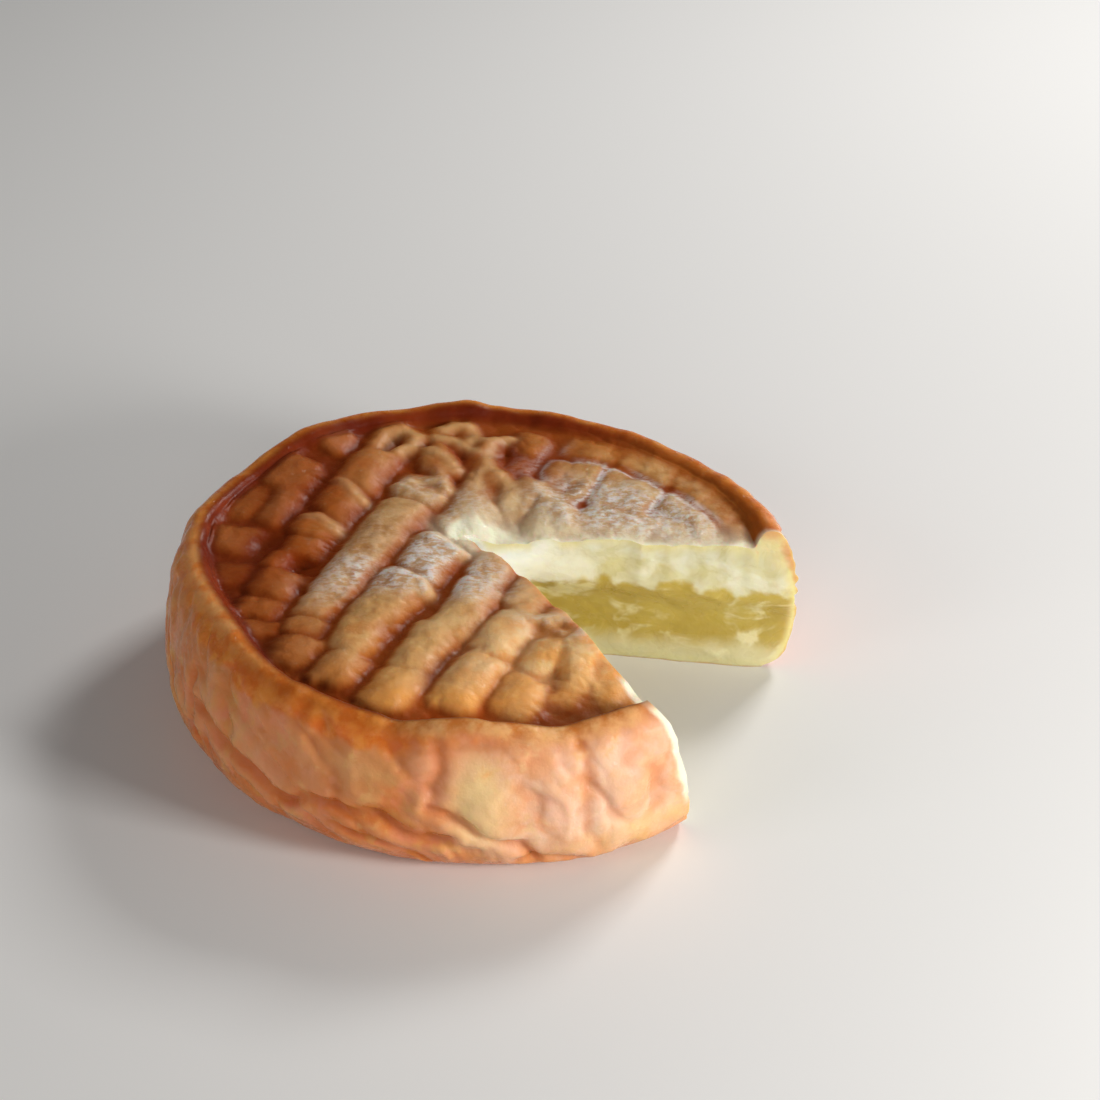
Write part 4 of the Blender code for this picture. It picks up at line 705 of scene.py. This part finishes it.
    # the skin is torn back from the far cut, most of all near its inner end
    off, along = cut_distance(x, y, True)
    width = 0.5 + 3.2 * smooth((14.0 - along) / 10.0) * smooth((along + 6.0) / 5.0)
    width = width + 0.7 * noise(x / 3.2, y / 3.2, 0.0, 101) + 0.5 * noise(x / 1.3, y / 1.3, 0.0, 102)
    behind = off + cut_wall(along, z, True)
    near = np.hypot(np.maximum(behind, 0.0), np.minimum(along, 0.0))
    masks["bare"] = smooth((width - near) / 1.6 + 0.5) * (behind > -1.5) * (z > 14.0)
    masks["paling"] = np.exp(-(np.maximum(behind, 0.0) / (2.6 + 3.0 * smooth((22.0 - along) / 14.0))) ** 1.6) * smooth((along + 3.0) / 4.0) * smooth((58.0 - along) / 10.0) * (z > 14.0) * (r < inner) * (behind > -1.5)
    masks["paling"] = np.maximum(masks["paling"], 0.75 * blob(w, v, -8.5, 7.0, 7.5, 2.6, -29, 3)) * (r < inner)
    # the powder gathers on the edges of the flat pads, with a painted highlight along those edges
    masks["white"] = np.clip(blob(w, v, 17, 30, 22, 14, -20, 4), 0, 1) * np.exp(-((ridge - 0.42) / 0.12) ** 2) * (1 - beyond)
    side_off, side_along = cut_distance(x, y, False)
    side_off = np.abs(side_off + cut_wall(side_along, z, False))
    masks["bare"] = np.maximum(masks["bare"], smooth((1.1 + 0.5 * noise(z / 3.0, 0.0, 0.0, 103) - side_off) / 0.8 + 0.5)
                               * smooth((side_along - 50.0) / 3.0) * smooth((z - 6.0) / 4.0) * smooth((27.5 - z) / 1.5))
    # depth under the rind, for the cut faces
    flat = floor_height(x, y) + pillows(x, y)
    under_top = np.where(r < inner + 0.5, flat - z, crest - z)
    wall = wide - (wide - at(R_FOOT, th)) * np.clip((BULGE_Z - z) / BULGE_Z, 0, 1) ** 2.3
    wall = wall - (wide - rim - LIP_HALF) * np.clip((z - BULGE_Z) / (crest - BULGE_Z), 0, 1) ** 1.8
    depth = np.minimum(np.minimum(under_top, wall - r), z + 0.3)
    thick = smooth((r - inner + 1.5) / 3.0) * smooth((z - 16.0) / 8.0)
    masks["depth"] = np.clip(depth * (1 - 0.72 * thick), 0, 12)
    # the upper part of the far face is paler, the paste below it yellower and darker: partly the paste's own tone,
    # partly painted light on the bulge and painted shadow below it
    off, along = cut_distance(x, y, True)
    limit = 10.5 + 6.5 * smooth((along - 2.0) / 16.0) + 3.2 * noise(along / 7.0, 0.0, 0.0, 113) + 2.4 * noise(along / 3.0, z / 4.0, 0.0, 114)
    near_face = smooth((cut_distance(x, y, False)[1] - 14.0) / 10.0) * (np.abs(cut_distance(x, y, False)[0]) < np.abs(off))
    masks["upper"] = smooth((z - limit) / 5.0 + 0.5) * (1 - 0.8 * near_face)
    masks["base"] = smooth((6.5 + 1.5 * noise(x / 5.0, y / 5.0, 0.0, 115) - z) / 4.0)
    masks["outskin"] = np.clip(smooth((r - inner + 0.5) / 2.0) + (z < 3.0), 0, 1)
    for name, values in masks.items():
        layer = mesh.attributes.new(name, "FLOAT", "POINT")
        layer.data.foreach_set("value", np.ascontiguousarray(values, np.float32))


# ---------------------------------------------------------------- materials
class Nodes:
    """Short names for building a material."""

    def __init__(self, name):
        self.mat = bpy.data.materials.new(name)
        self.mat.use_nodes = True
        self.tree = self.mat.node_tree
        self.shader = self.tree.nodes["Principled BSDF"]
        self.coord = self.tree.nodes.new("ShaderNodeTexCoord").outputs["Object"]

    def put(self, socket, value):
        if isinstance(value, bpy.types.NodeSocket):
            self.tree.links.new(value, socket)
        elif hasattr(socket, "default_value") and isinstance(value, (tuple, list)) and len(value) == 3 and socket.type == "RGBA":
            socket.default_value = (*value, 1.0)
        else:
            socket.default_value = value

    def attr(self, name):
        node = self.tree.nodes.new("ShaderNodeAttribute")
        node.attribute_type = "GEOMETRY"
        node.attribute_name = name
        return node.outputs["Fac"]

    def math(self, op, a, b=0.0, clamp=False):
        node = self.tree.nodes.new("ShaderNodeMath")
        node.operation = op
        node.use_clamp = clamp
        self.put(node.inputs[0], a)
        self.put(node.inputs[1], b)
        return node.outputs[0]

    def remap(self, value, low, high, out_low=0.0, out_high=1.0, kind="SMOOTHSTEP"):
        node = self.tree.nodes.new("ShaderNodeMapRange")
        node.interpolation_type = kind
        for socket, number in zip(node.inputs[:5], (value, low, high, out_low, out_high)):
            self.put(socket, number)
        return node.outputs[0]

    def mix(self, factor, a, b, blend="MIX"):
        node = self.tree.nodes.new("ShaderNodeMix")
        node.data_type = "RGBA"
        node.blend_type = blend
        self.put(node.inputs[0], factor)
        self.put(node.inputs[6], a)
        self.put(node.inputs[7], b)
        return node.outputs[2]

    def noise(self, size_mm, detail=3.0, rough=0.55, distort=0.0, stretch=None, turn=0.0, shift=0.0):
        place = self.coord
        if stretch or shift or turn:
            node = self.tree.nodes.new("ShaderNodeMapping")
            self.put(node.inputs["Vector"], place)
            node.inputs["Location"].default_value = (shift, shift * 0.7, -shift)
            node.inputs["Rotation"].default_value = (0.0, 0.0, np.radians(turn))
            node.inputs["Scale"].default_value = stretch or (1, 1, 1)
            place = node.outputs["Vector"]
        node = self.tree.nodes.new("ShaderNodeTexNoise")
        self.put(node.inputs["Vector"], place)
        node.inputs["Scale"].default_value = 1000.0 / size_mm
        node.inputs["Detail"].default_value = detail
        node.inputs["Roughness"].default_value = rough
        node.inputs["Distortion"].default_value = distort
        return node.outputs["Fac"]

    def voronoi(self, size_mm, feature="F1", rand=1.0):
        node = self.tree.nodes.new("ShaderNodeTexVoronoi")
        node.feature = feature
        self.put(node.inputs["Vector"], self.coord)
        node.inputs["Scale"].default_value = 1000.0 / size_mm
        node.inputs["Randomness"].default_value = rand
        return node.outputs["Distance"]

    def bump(self, height, distance_mm, strength=1.0, onto=None):
        node = self.tree.nodes.new("ShaderNodeBump")
        node.inputs["Distance"].default_value = distance_mm / 1000.0
        node.inputs["Strength"].default_value = strength
        self.put(node.inputs["Height"], height)
        if onto is not None:
            self.put(node.inputs["Normal"], onto)
        return node.outputs["Normal"]

    def set(self, **inputs):
        for name, value in inputs.items():
            self.put(self.shader.inputs[name.replace("_", " ")], value)


def rind():
    m = Nodes("rind_look")
    ridge, edge, side, rim = m.attr("ridge"), m.attr("edge"), m.attr("side"), m.attr("rim")
    inwall, dark, beige = m.attr("inwall"), m.attr("left_dark_and_shade"), m.attr("beige")
    bloom, cream, pink, crease = m.attr("bloom"), m.attr("cream"), m.attr("pink"), m.attr("crease")
    yellow, amber, bare, pale = m.attr("yellow"), m.attr("amber"), m.attr("bare"), m.attr("pale")
    broad, mid, fine = m.noise(14, 3), m.noise(4.5, 4, 0.6), m.noise(1.3, 4, 0.6)
    spots = m.noise(7.0, 3, 0.55, 0.4, shift=3.0)
    streak = m.noise(0.75, 4, 0.62, 0.5, stretch=(0.42, 1.0, 1.0), turn=-24.0)

    hill, dale, steep, crisp = m.attr("hill"), m.attr("dale"), m.attr("steep"), m.attr("crisp")
    # flat keeps tan and beige off the right-hand flanks: painted shade there, with some of the rind's own darker orange
    flat = m.math("SUBTRACT", 1.0, m.math("MULTIPLY", steep, 0.80))

    # the top: dark orange-brown in the grooves, tan on the ridges
    lift = m.math("ADD", ridge, m.math("MULTIPLY", m.math("SUBTRACT", mid, 0.5), 0.35))
    low = m.mix(m.remap(broad, 0.35, 0.65), (0.25, 0.042, 0.004), (0.34, 0.078, 0.009))
    high = m.mix(m.remap(broad, 0.3, 0.7), (0.68, 0.330, 0.090), (0.80, 0.520, 0.220))
    high = m.mix(m.remap(spots, 0.48, 0.7), high, (0.60, 0.235, 0.052))
    flank = m.mix(m.remap(broad, 0.35, 0.65), (0.40, 0.098, 0.011), (0.50, 0.155, 0.022))
    top = m.mix(m.remap(lift, 0.05, 0.55), low, flank)
    top = m.mix(m.math("MULTIPLY", m.remap(lift, 0.40, 0.95), flat), top, high)
    # painted light on the front-right of the top
    top = m.mix(m.math("MULTIPLY", m.attr("sunny"), m.remap(lift, 0.2, 0.9, 0.25, 0.8)), top, m.mix(m.remap(mid, 0.35, 0.65), (0.90, 0.500, 0.220), (0.94, 0.660, 0.380)))
    top = m.mix(m.math("MULTIPLY", m.math("MULTIPLY", beige, flat), m.remap(lift, 0.18, 0.60)), top, m.mix(m.remap(mid, 0.35, 0.65), (0.50, 0.240, 0.068), (0.72, 0.460, 0.205)))
    # small rises lightened towards beige: the rind's own tan with painted light
    top = m.mix(m.math("MULTIPLY", hill, m.remap(mid, 0.35, 0.65, 0.25, 0.6)), top, m.mix(beige, (0.74, 0.370, 0.125), (0.72, 0.455, 0.200)))
    # browner rind, with painted shade over the middle-left rows
    top = m.mix(m.math("MULTIPLY", m.attr("brown_and_painted_shade"), 0.95), top, m.mix(1.0, top, (0.62, 0.290, 0.080), "MULTIPLY"))
    # small hollows darkened: the grooves' own darker orange with painted shade, lighter within the front's painted
    # light
    top = m.mix(m.math("MULTIPLY", dale, 0.60), top, m.mix(m.attr("front_painted_light"), (0.28, 0.044, 0.004), (0.68, 0.190, 0.028)))
    # painted light on the front-right pads
    top = m.mix(m.math("MULTIPLY", m.attr("front_painted_light"), m.remap(lift, 0.2, 0.75, 0.40, 0.92)), top, m.mix(m.remap(mid, 0.38, 0.62), (0.98, 0.450, 0.120), (0.98, 0.640, 0.290)))
    top = m.mix(m.math("MULTIPLY", edge, 0.48), top, m.mix(m.remap(lift, 0.1, 0.8), (0.34, 0.070, 0.008), (0.58, 0.210, 0.036)))
    top = m.mix(m.math("MULTIPLY", m.attr("ends"), m.remap(spots, 0.3, 0.6, 0.90, 0.55)), top, m.mix(m.remap(lift, 0.1, 0.75), (0.46, 0.080, 0.008), (0.98, 0.430, 0.095)))
    top = m.mix(m.math("MULTIPLY", m.attr("fold"), 0.5), top, (0.74, 0.480, 0.220))
    # painted shade over the left of the top, on top of its deeper orange
    top = m.mix(m.math("MULTIPLY", dark, 0.74), top, m.mix(m.remap(lift, 0.2, 0.9), (0.17, 0.020, 0.003), (0.37, 0.066, 0.007)))

    # the rim: glossy orange on its crest, dark red-brown down its inner wall, partly painted shade, with painted light
    # on the wall's right part
    crown = m.mix(m.remap(mid, 0.35, 0.65), (0.58, 0.135, 0.012), (0.76, 0.270, 0.045))
    wall = m.mix(m.remap(broad, 0.35, 0.65), (0.14, 0.013, 0.003), (0.23, 0.030, 0.005))
    # painted light on the right part of the inner wall
    wall = m.mix(m.math("MULTIPLY", m.attr("right_wall_painted_light"), 0.8), wall, (0.50, 0.135, 0.018))
    # painted shade along the moat at the foot of the inner wall
    top = m.mix(m.math("MULTIPLY", m.attr("moat_painted_shade"), 0.9), top, (0.15, 0.014, 0.003))
    crown = m.mix(m.attr("lefttan"), crown, m.mix(m.remap(mid, 0.35, 0.6), (0.86, 0.265, 0.048), (0.94, 0.460, 0.155)))
    top = m.mix(rim, top, crown)
    top = m.mix(m.math("MULTIPLY", inwall, 0.96), top, wall)

    # the side: peach and orange with pink, yellow and cream blotches
    skin = m.mix(m.remap(broad, 0.35, 0.65), (0.71, 0.200, 0.040), (0.79, 0.280, 0.078))
    skin = m.mix(m.remap(spots, 0.50, 0.62), skin, (0.82, 0.290, 0.135))
    skin = m.mix(m.remap(mid, 0.56, 0.68), skin, (0.78, 0.370, 0.115))
    light = m.mix(m.remap(spots, 0.42, 0.62), (0.86, 0.460, 0.250), (0.90, 0.635, 0.460))
    light = m.mix(m.remap(mid, 0.50, 0.66), light, (0.88, 0.600, 0.340))
    # paler peach on the side's front-right: partly its own colour, partly painted light
    skin = m.mix(m.math("MULTIPLY", pale, m.remap(broad, 0.2, 0.5, 0.75, 1.0)), skin, light)
    skin = m.mix(m.math("MULTIPLY", yellow, m.remap(mid, 0.35, 0.6)), skin, (0.72, 0.430, 0.125))
    skin = m.mix(m.math("MULTIPLY", pink, m.remap(spots, 0.30, 0.55, 0.0, 0.8)), skin, (0.90, 0.520, 0.370))
    skin = m.mix(cream, skin, (0.92, 0.710, 0.370))
    # painted light on the side's rises, painted shade in its hollows and creases
    skin = m.mix(m.math("MULTIPLY", m.attr("swell"), 0.30), skin, (0.88, 0.520, 0.280))
    skin = m.mix(m.math("MULTIPLY", m.attr("gully"), 0.40), skin, (0.68, 0.210, 0.060))
    skin = m.mix(m.math("MULTIPLY", crease, 0.5), skin, (0.60, 0.165, 0.040))
    # painted shade: darker and redder towards the foot
    skin = m.mix(m.math("MULTIPLY", m.attr("foot"), 0.35), skin, (0.66, 0.250, 0.055))
    skin = m.mix(m.math("MULTIPLY", m.attr("lefttan"), 0.5), skin, (0.74, 0.380, 0.165))
    edge_noise = m.math("MULTIPLY", m.math("SUBTRACT", m.math("ADD", spots, mid), 1.0), 1.1)
    skin = m.mix(m.math("MULTIPLY", m.remap(m.math("ADD", amber, edge_noise), 0.22, 0.75), 0.92), skin,
                 m.mix(m.remap(m.noise(4.5, 4, 0.6, 0.3), 0.38, 0.62), (0.76, 0.180, 0.016), (0.90, 0.350, 0.062)))
    skin = m.mix(m.math("MULTIPLY", m.attr("torn"), m.remap(mid, 0.3, 0.6, 0.3, 0.9)), skin, (0.86, 0.520, 0.240))
    top = m.mix(m.math("MULTIPLY", m.math("MULTIPLY", m.attr("torn"), rim), m.math("SUBTRACT", 1.0, inwall)), top, m.mix(m.remap(mid, 0.38, 0.62), (0.66, 0.220, 0.045), (0.84, 0.440, 0.170)))
    # away from the pale front-right the skin is deepened to a redder orange: its own deeper orange with painted shade
    # on the left of the side
    skin = m.mix(m.math("SUBTRACT", 0.95, m.math("MULTIPLY", pale, 0.6)), skin, m.mix(1.0, skin, (0.99, 0.870, 0.740), "MULTIPLY"))
    colour = m.mix(side, top, skin)

    # white bloom on the tops of some ridges, streaky and broken
    patch = m.math("MULTIPLY", m.math("MULTIPLY", bloom, flat), m.remap(lift, 0.25, 0.75))
    clumps = m.math("ADD", m.math("MULTIPLY", streak, 0.62), m.math("MULTIPLY", fine, 0.38))
    clumps = m.math("ADD", clumps, m.math("MULTIPLY", m.math("SUBTRACT", crisp, 0.5), 0.10))
    clumps = m.math("ADD", clumps, m.math("MULTIPLY", m.math("SUBTRACT", mid, 0.5), 0.25))
    powder = m.math("MULTIPLY", patch, m.remap(clumps, 0.43, 0.62))
    # powder and a painted highlight along the edges of the flat pads
    white = m.math("MULTIPLY", m.attr("white"), m.remap(streak, 0.38, 0.55, 0.2, 0.8))
    veil = m.math("MAXIMUM", white, m.math("ADD", m.math("MULTIPLY", powder, 0.80), m.math("MULTIPLY", patch, 0.14)))
    colour = m.mix(veil, colour, (0.82, 0.78, 0.75))
    colour = m.mix(m.math("MULTIPLY", m.attr("paling"), m.remap(mid, 0.3, 0.6, 0.70, 1.0)), colour, (0.90, 0.800, 0.560))
    colour = m.mix(bare, colour, (0.98, 0.91, 0.68))

    grain = m.math("ADD", m.math("MULTIPLY", fine, 0.40), m.math("MULTIPLY", m.noise(0.5, 3), 0.08))
    normal = m.bump(grain, 0.20)
    normal = m.bump(m.math("MULTIPLY", streak, patch), 0.30, onto=normal)
    normal = m.bump(mid, 0.35, onto=normal)
    wet = m.bump(m.noise(1.5, 4, 0.65, 0.3), 0.75, onto=normal)
    gloss = m.math("SUBTRACT", m.remap(m.noise(2.4, 3, 0.6), 0.35, 0.65, 0.32, 0.46),
                   m.math("MULTIPLY", m.math("MAXIMUM", side, rim), 0.12))
    moist = m.math("MAXIMUM", m.math("MAXIMUM", side, rim), m.math("MULTIPLY", m.remap(lift, 0.35, 0.85), m.math("SUBTRACT", 1.0, m.math("MULTIPLY", dale, 0.9))))
    moist = m.math("MULTIPLY", moist, m.math("SUBTRACT", 1.0, m.math("MULTIPLY", inwall, 0.7)))
    m.set(Base_Color=colour, Normal=normal, Roughness=m.math("ADD", gloss, m.math("MULTIPLY", veil, 0.4)),
          Subsurface_Weight=0.40, Subsurface_Radius=(1.0, 0.36, 0.13), Subsurface_Scale=0.0032,
          Specular_IOR_Level=0.09, Coat_Weight=m.math("MULTIPLY", moist, m.math("ADD", m.math("MULTIPLY", side, 0.16), 0.30)), Coat_Roughness=0.055, Coat_Normal=wet)
    return m.mat


def paste():
    m = Nodes("paste_look")
    depth, upper, base, outskin = m.attr("depth"), m.attr("upper"), m.attr("base"), m.attr("outskin")
    broad, mid, fine = m.noise(9, 3), m.noise(2.6, 4, 0.6), m.noise(0.9, 3)
    smear = m.noise(4.2, 3, 0.5, 0.35, stretch=(0.7, 0.7, 1.0), turn=20.0)
    spots = m.noise(3.2, 3, 0.6, 0.5, shift=2.0)
    pale = m.mix(m.remap(smear, 0.38, 0.66), (0.68, 0.620, 0.335), (0.80, 0.775, 0.57))
    # paler cream at the apex, partly painted light
    pale = m.mix(m.attr("apex"), pale, (0.97, 0.96, 0.87))
    # the olive-yellow paste lower down: its own yellow, darkened with painted shadow
    body = m.mix(m.remap(broad, 0.3, 0.7), (0.50, 0.360, 0.060), (0.58, 0.440, 0.092))
    body = m.mix(m.remap(smear, 0.52, 0.68), body, (0.76, 0.67, 0.35))
    body = m.mix(m.remap(spots, 0.30, 0.44, 0.6, 0.0), body, (0.52, 0.375, 0.090))
    body = m.mix(m.math("MULTIPLY", base, 0.7), body, (0.80, 0.76, 0.50))
    # paler paste above: partly its own cream, partly painted light
    body = m.mix(m.remap(m.math("ADD", upper, m.math("MULTIPLY", m.math("SUBTRACT", mid, 0.5), 0.7)), 0.25, 0.75), body, pale)
    rough_depth = m.math("ADD", depth, m.math("MULTIPLY", m.math("SUBTRACT", mid, 0.5), 0.6))
    under = m.mix(m.remap(depth, 0.3, 2.2), (0.80, 0.70, 0.340), body)
    line = m.mix(outskin, (0.86, 0.76, 0.42), (0.70, 0.380, 0.150))
    colour = m.mix(m.remap(rough_depth, 0.1, 0.75), line, under)
    normal = m.bump(m.math("ADD", smear, m.math("MULTIPLY", fine, 0.10)), 0.5)
    wet = m.bump(mid, 0.7, onto=normal)
    m.set(Base_Color=colour, Normal=normal, Roughness=m.remap(smear, 0.35, 0.65, 0.24, 0.38),
          Subsurface_Weight=0.5, Subsurface_Radius=(1.0, 0.72, 0.28), Subsurface_Scale=0.005,
          Specular_IOR_Level=0.38, Coat_Weight=0.30, Coat_Roughness=0.10, Coat_Normal=wet)
    return m.mat


# ---------------------------------------------------------------- the cheese
whole = make_object("whole_wheel", *wheel_mesh())
gap = make_object("gap_shape", *gap_mesh())
rind_mat, paste_mat = rind(), paste()
whole.data.materials.append(rind_mat)
gap.data.materials.append(paste_mat)
cut = whole.modifiers.new("wedge_taken_out", "BOOLEAN")
cut.operation = "DIFFERENCE"
cut.solver = "EXACT"
cut.object = gap
cut.material_mode = "TRANSFER"
evaluated = whole.evaluated_get(bpy.context.evaluated_depsgraph_get())
mesh = bpy.data.meshes.new_from_object(evaluated)
mesh.name = "cheese"
cheese = bpy.data.objects.new("cheese", mesh)
bpy.context.scene.collection.objects.link(cheese)
for spare in (whole, gap):
    data = spare.data
    bpy.data.objects.remove(spare, do_unlink=True)
    bpy.data.meshes.remove(data)
finish_masks(mesh)
mesh.shade_smooth()

# the corner between rind and paste stays crisp
faces_of = {}
owner = np.empty(len(mesh.polygons), np.int32)
mesh.polygons.foreach_get("material_index", owner)
starts = np.empty(len(mesh.polygons), np.int32)
totals = np.empty(len(mesh.polygons), np.int32)
mesh.polygons.foreach_get("loop_start", starts)
mesh.polygons.foreach_get("loop_total", totals)
loop_edge = np.empty(len(mesh.loops), np.int32)
mesh.loops.foreach_get("edge_index", loop_edge)
loop_mat = np.repeat(owner, totals)
low = np.full(len(mesh.edges), 9)
high = np.full(len(mesh.edges), -9)
np.minimum.at(low, loop_edge, loop_mat)
np.maximum.at(high, loop_edge, loop_mat)
sharp = mesh.attributes.get("sharp_edge") or mesh.attributes.new("sharp_edge", "BOOLEAN", "EDGE")
sharp.data.foreach_set("value", low != high)
print("cheese:", len(mesh.vertices), "points,", int((totals - 2).sum()), "triangles, materials", [s.name for s in mesh.materials],
      "paste faces", int((owner == 1).sum()))

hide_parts("wheel")
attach(cheese, "root")

# ---------------------------------------------------------------- floor, light and camera
def flat_material(name, colour, roughness):
    mat = bpy.data.materials.new(name)
    mat.use_nodes = True
    shader = mat.node_tree.nodes["Principled BSDF"]
    shader.inputs["Base Color"].default_value = (*colour, 1.0)
    shader.inputs["Roughness"].default_value = roughness
    return mat


floor_mesh = bpy.data.meshes.new("floor")
floor_mesh.from_pydata([(-4, -4, 0), (4, -4, 0), (4, 4, 0), (-4, 4, 0)], [], [(0, 1, 2, 3)])
floor_mesh.materials.append(flat_material("floor_look", (0.88, 0.872, 0.86), 0.8))
floor = bpy.data.objects.new("floor", floor_mesh)
bpy.context.scene.collection.objects.link(floor)


def area_light(name, place, aim, size, watts, colour=(1, 1, 1)):
    data = bpy.data.lights.new(name, "AREA")
    data.shape = "RECTANGLE"
    data.size, data.size_y = size
    data.energy = watts
    data.color = colour
    light = bpy.data.objects.new(name, data)
    light.location = place
    light.rotation_euler = (Vector(aim) - Vector(place)).to_track_quat("-Z", "Y").to_euler()
    bpy.context.scene.collection.objects.link(light)
    return light


area_light("key", (0.38, -0.23, 0.155), (0, 0, 0.01), (0.12, 0.12), 1.65, (1.0, 0.985, 0.96))
area_light("front", (-0.05, -0.75, 0.32), (0, 0, 0.01), (0.3, 0.3), 0.95, (1.0, 0.985, 0.96))
area_light("back", (0.30, 0.38, 0.36), (0, 0, 0.02), (0.15, 0.15), 1.75, (1.0, 0.99, 0.97))
area_light("left", (-0.60, -0.35, 0.34), (0, 0, 0.01), (0.3, 0.3), 0.72, (1.0, 0.98, 0.95))

world = bpy.data.worlds.new("studio")
world.use_nodes = True
world.node_tree.nodes["Background"].inputs["Color"].default_value = (1.0, 1.0, 1.0, 1.0)
world.node_tree.nodes["Background"].inputs["Strength"].default_value = 0.07
bpy.context.scene.world = world
bpy.context.scene.view_settings.view_transform = "Standard"

camera_data = bpy.data.cameras.new("camera")
camera_data.sensor_width = 36.0
camera_data.lens = 2835.06 * 36.0 / 1100.0
camera = bpy.data.objects.new("camera", camera_data)
camera.location = ((12.093 - MIDDLE[0]) / 1000.0, (-418.462 - MIDDLE[1]) / 1000.0, 300.604 / 1000.0)
camera.rotation_euler = (np.radians(57.0), 0.0, 0.0)
bpy.context.scene.collection.objects.link(camera)
bpy.context.scene.camera = camera

bpy.context.view_layer.update()
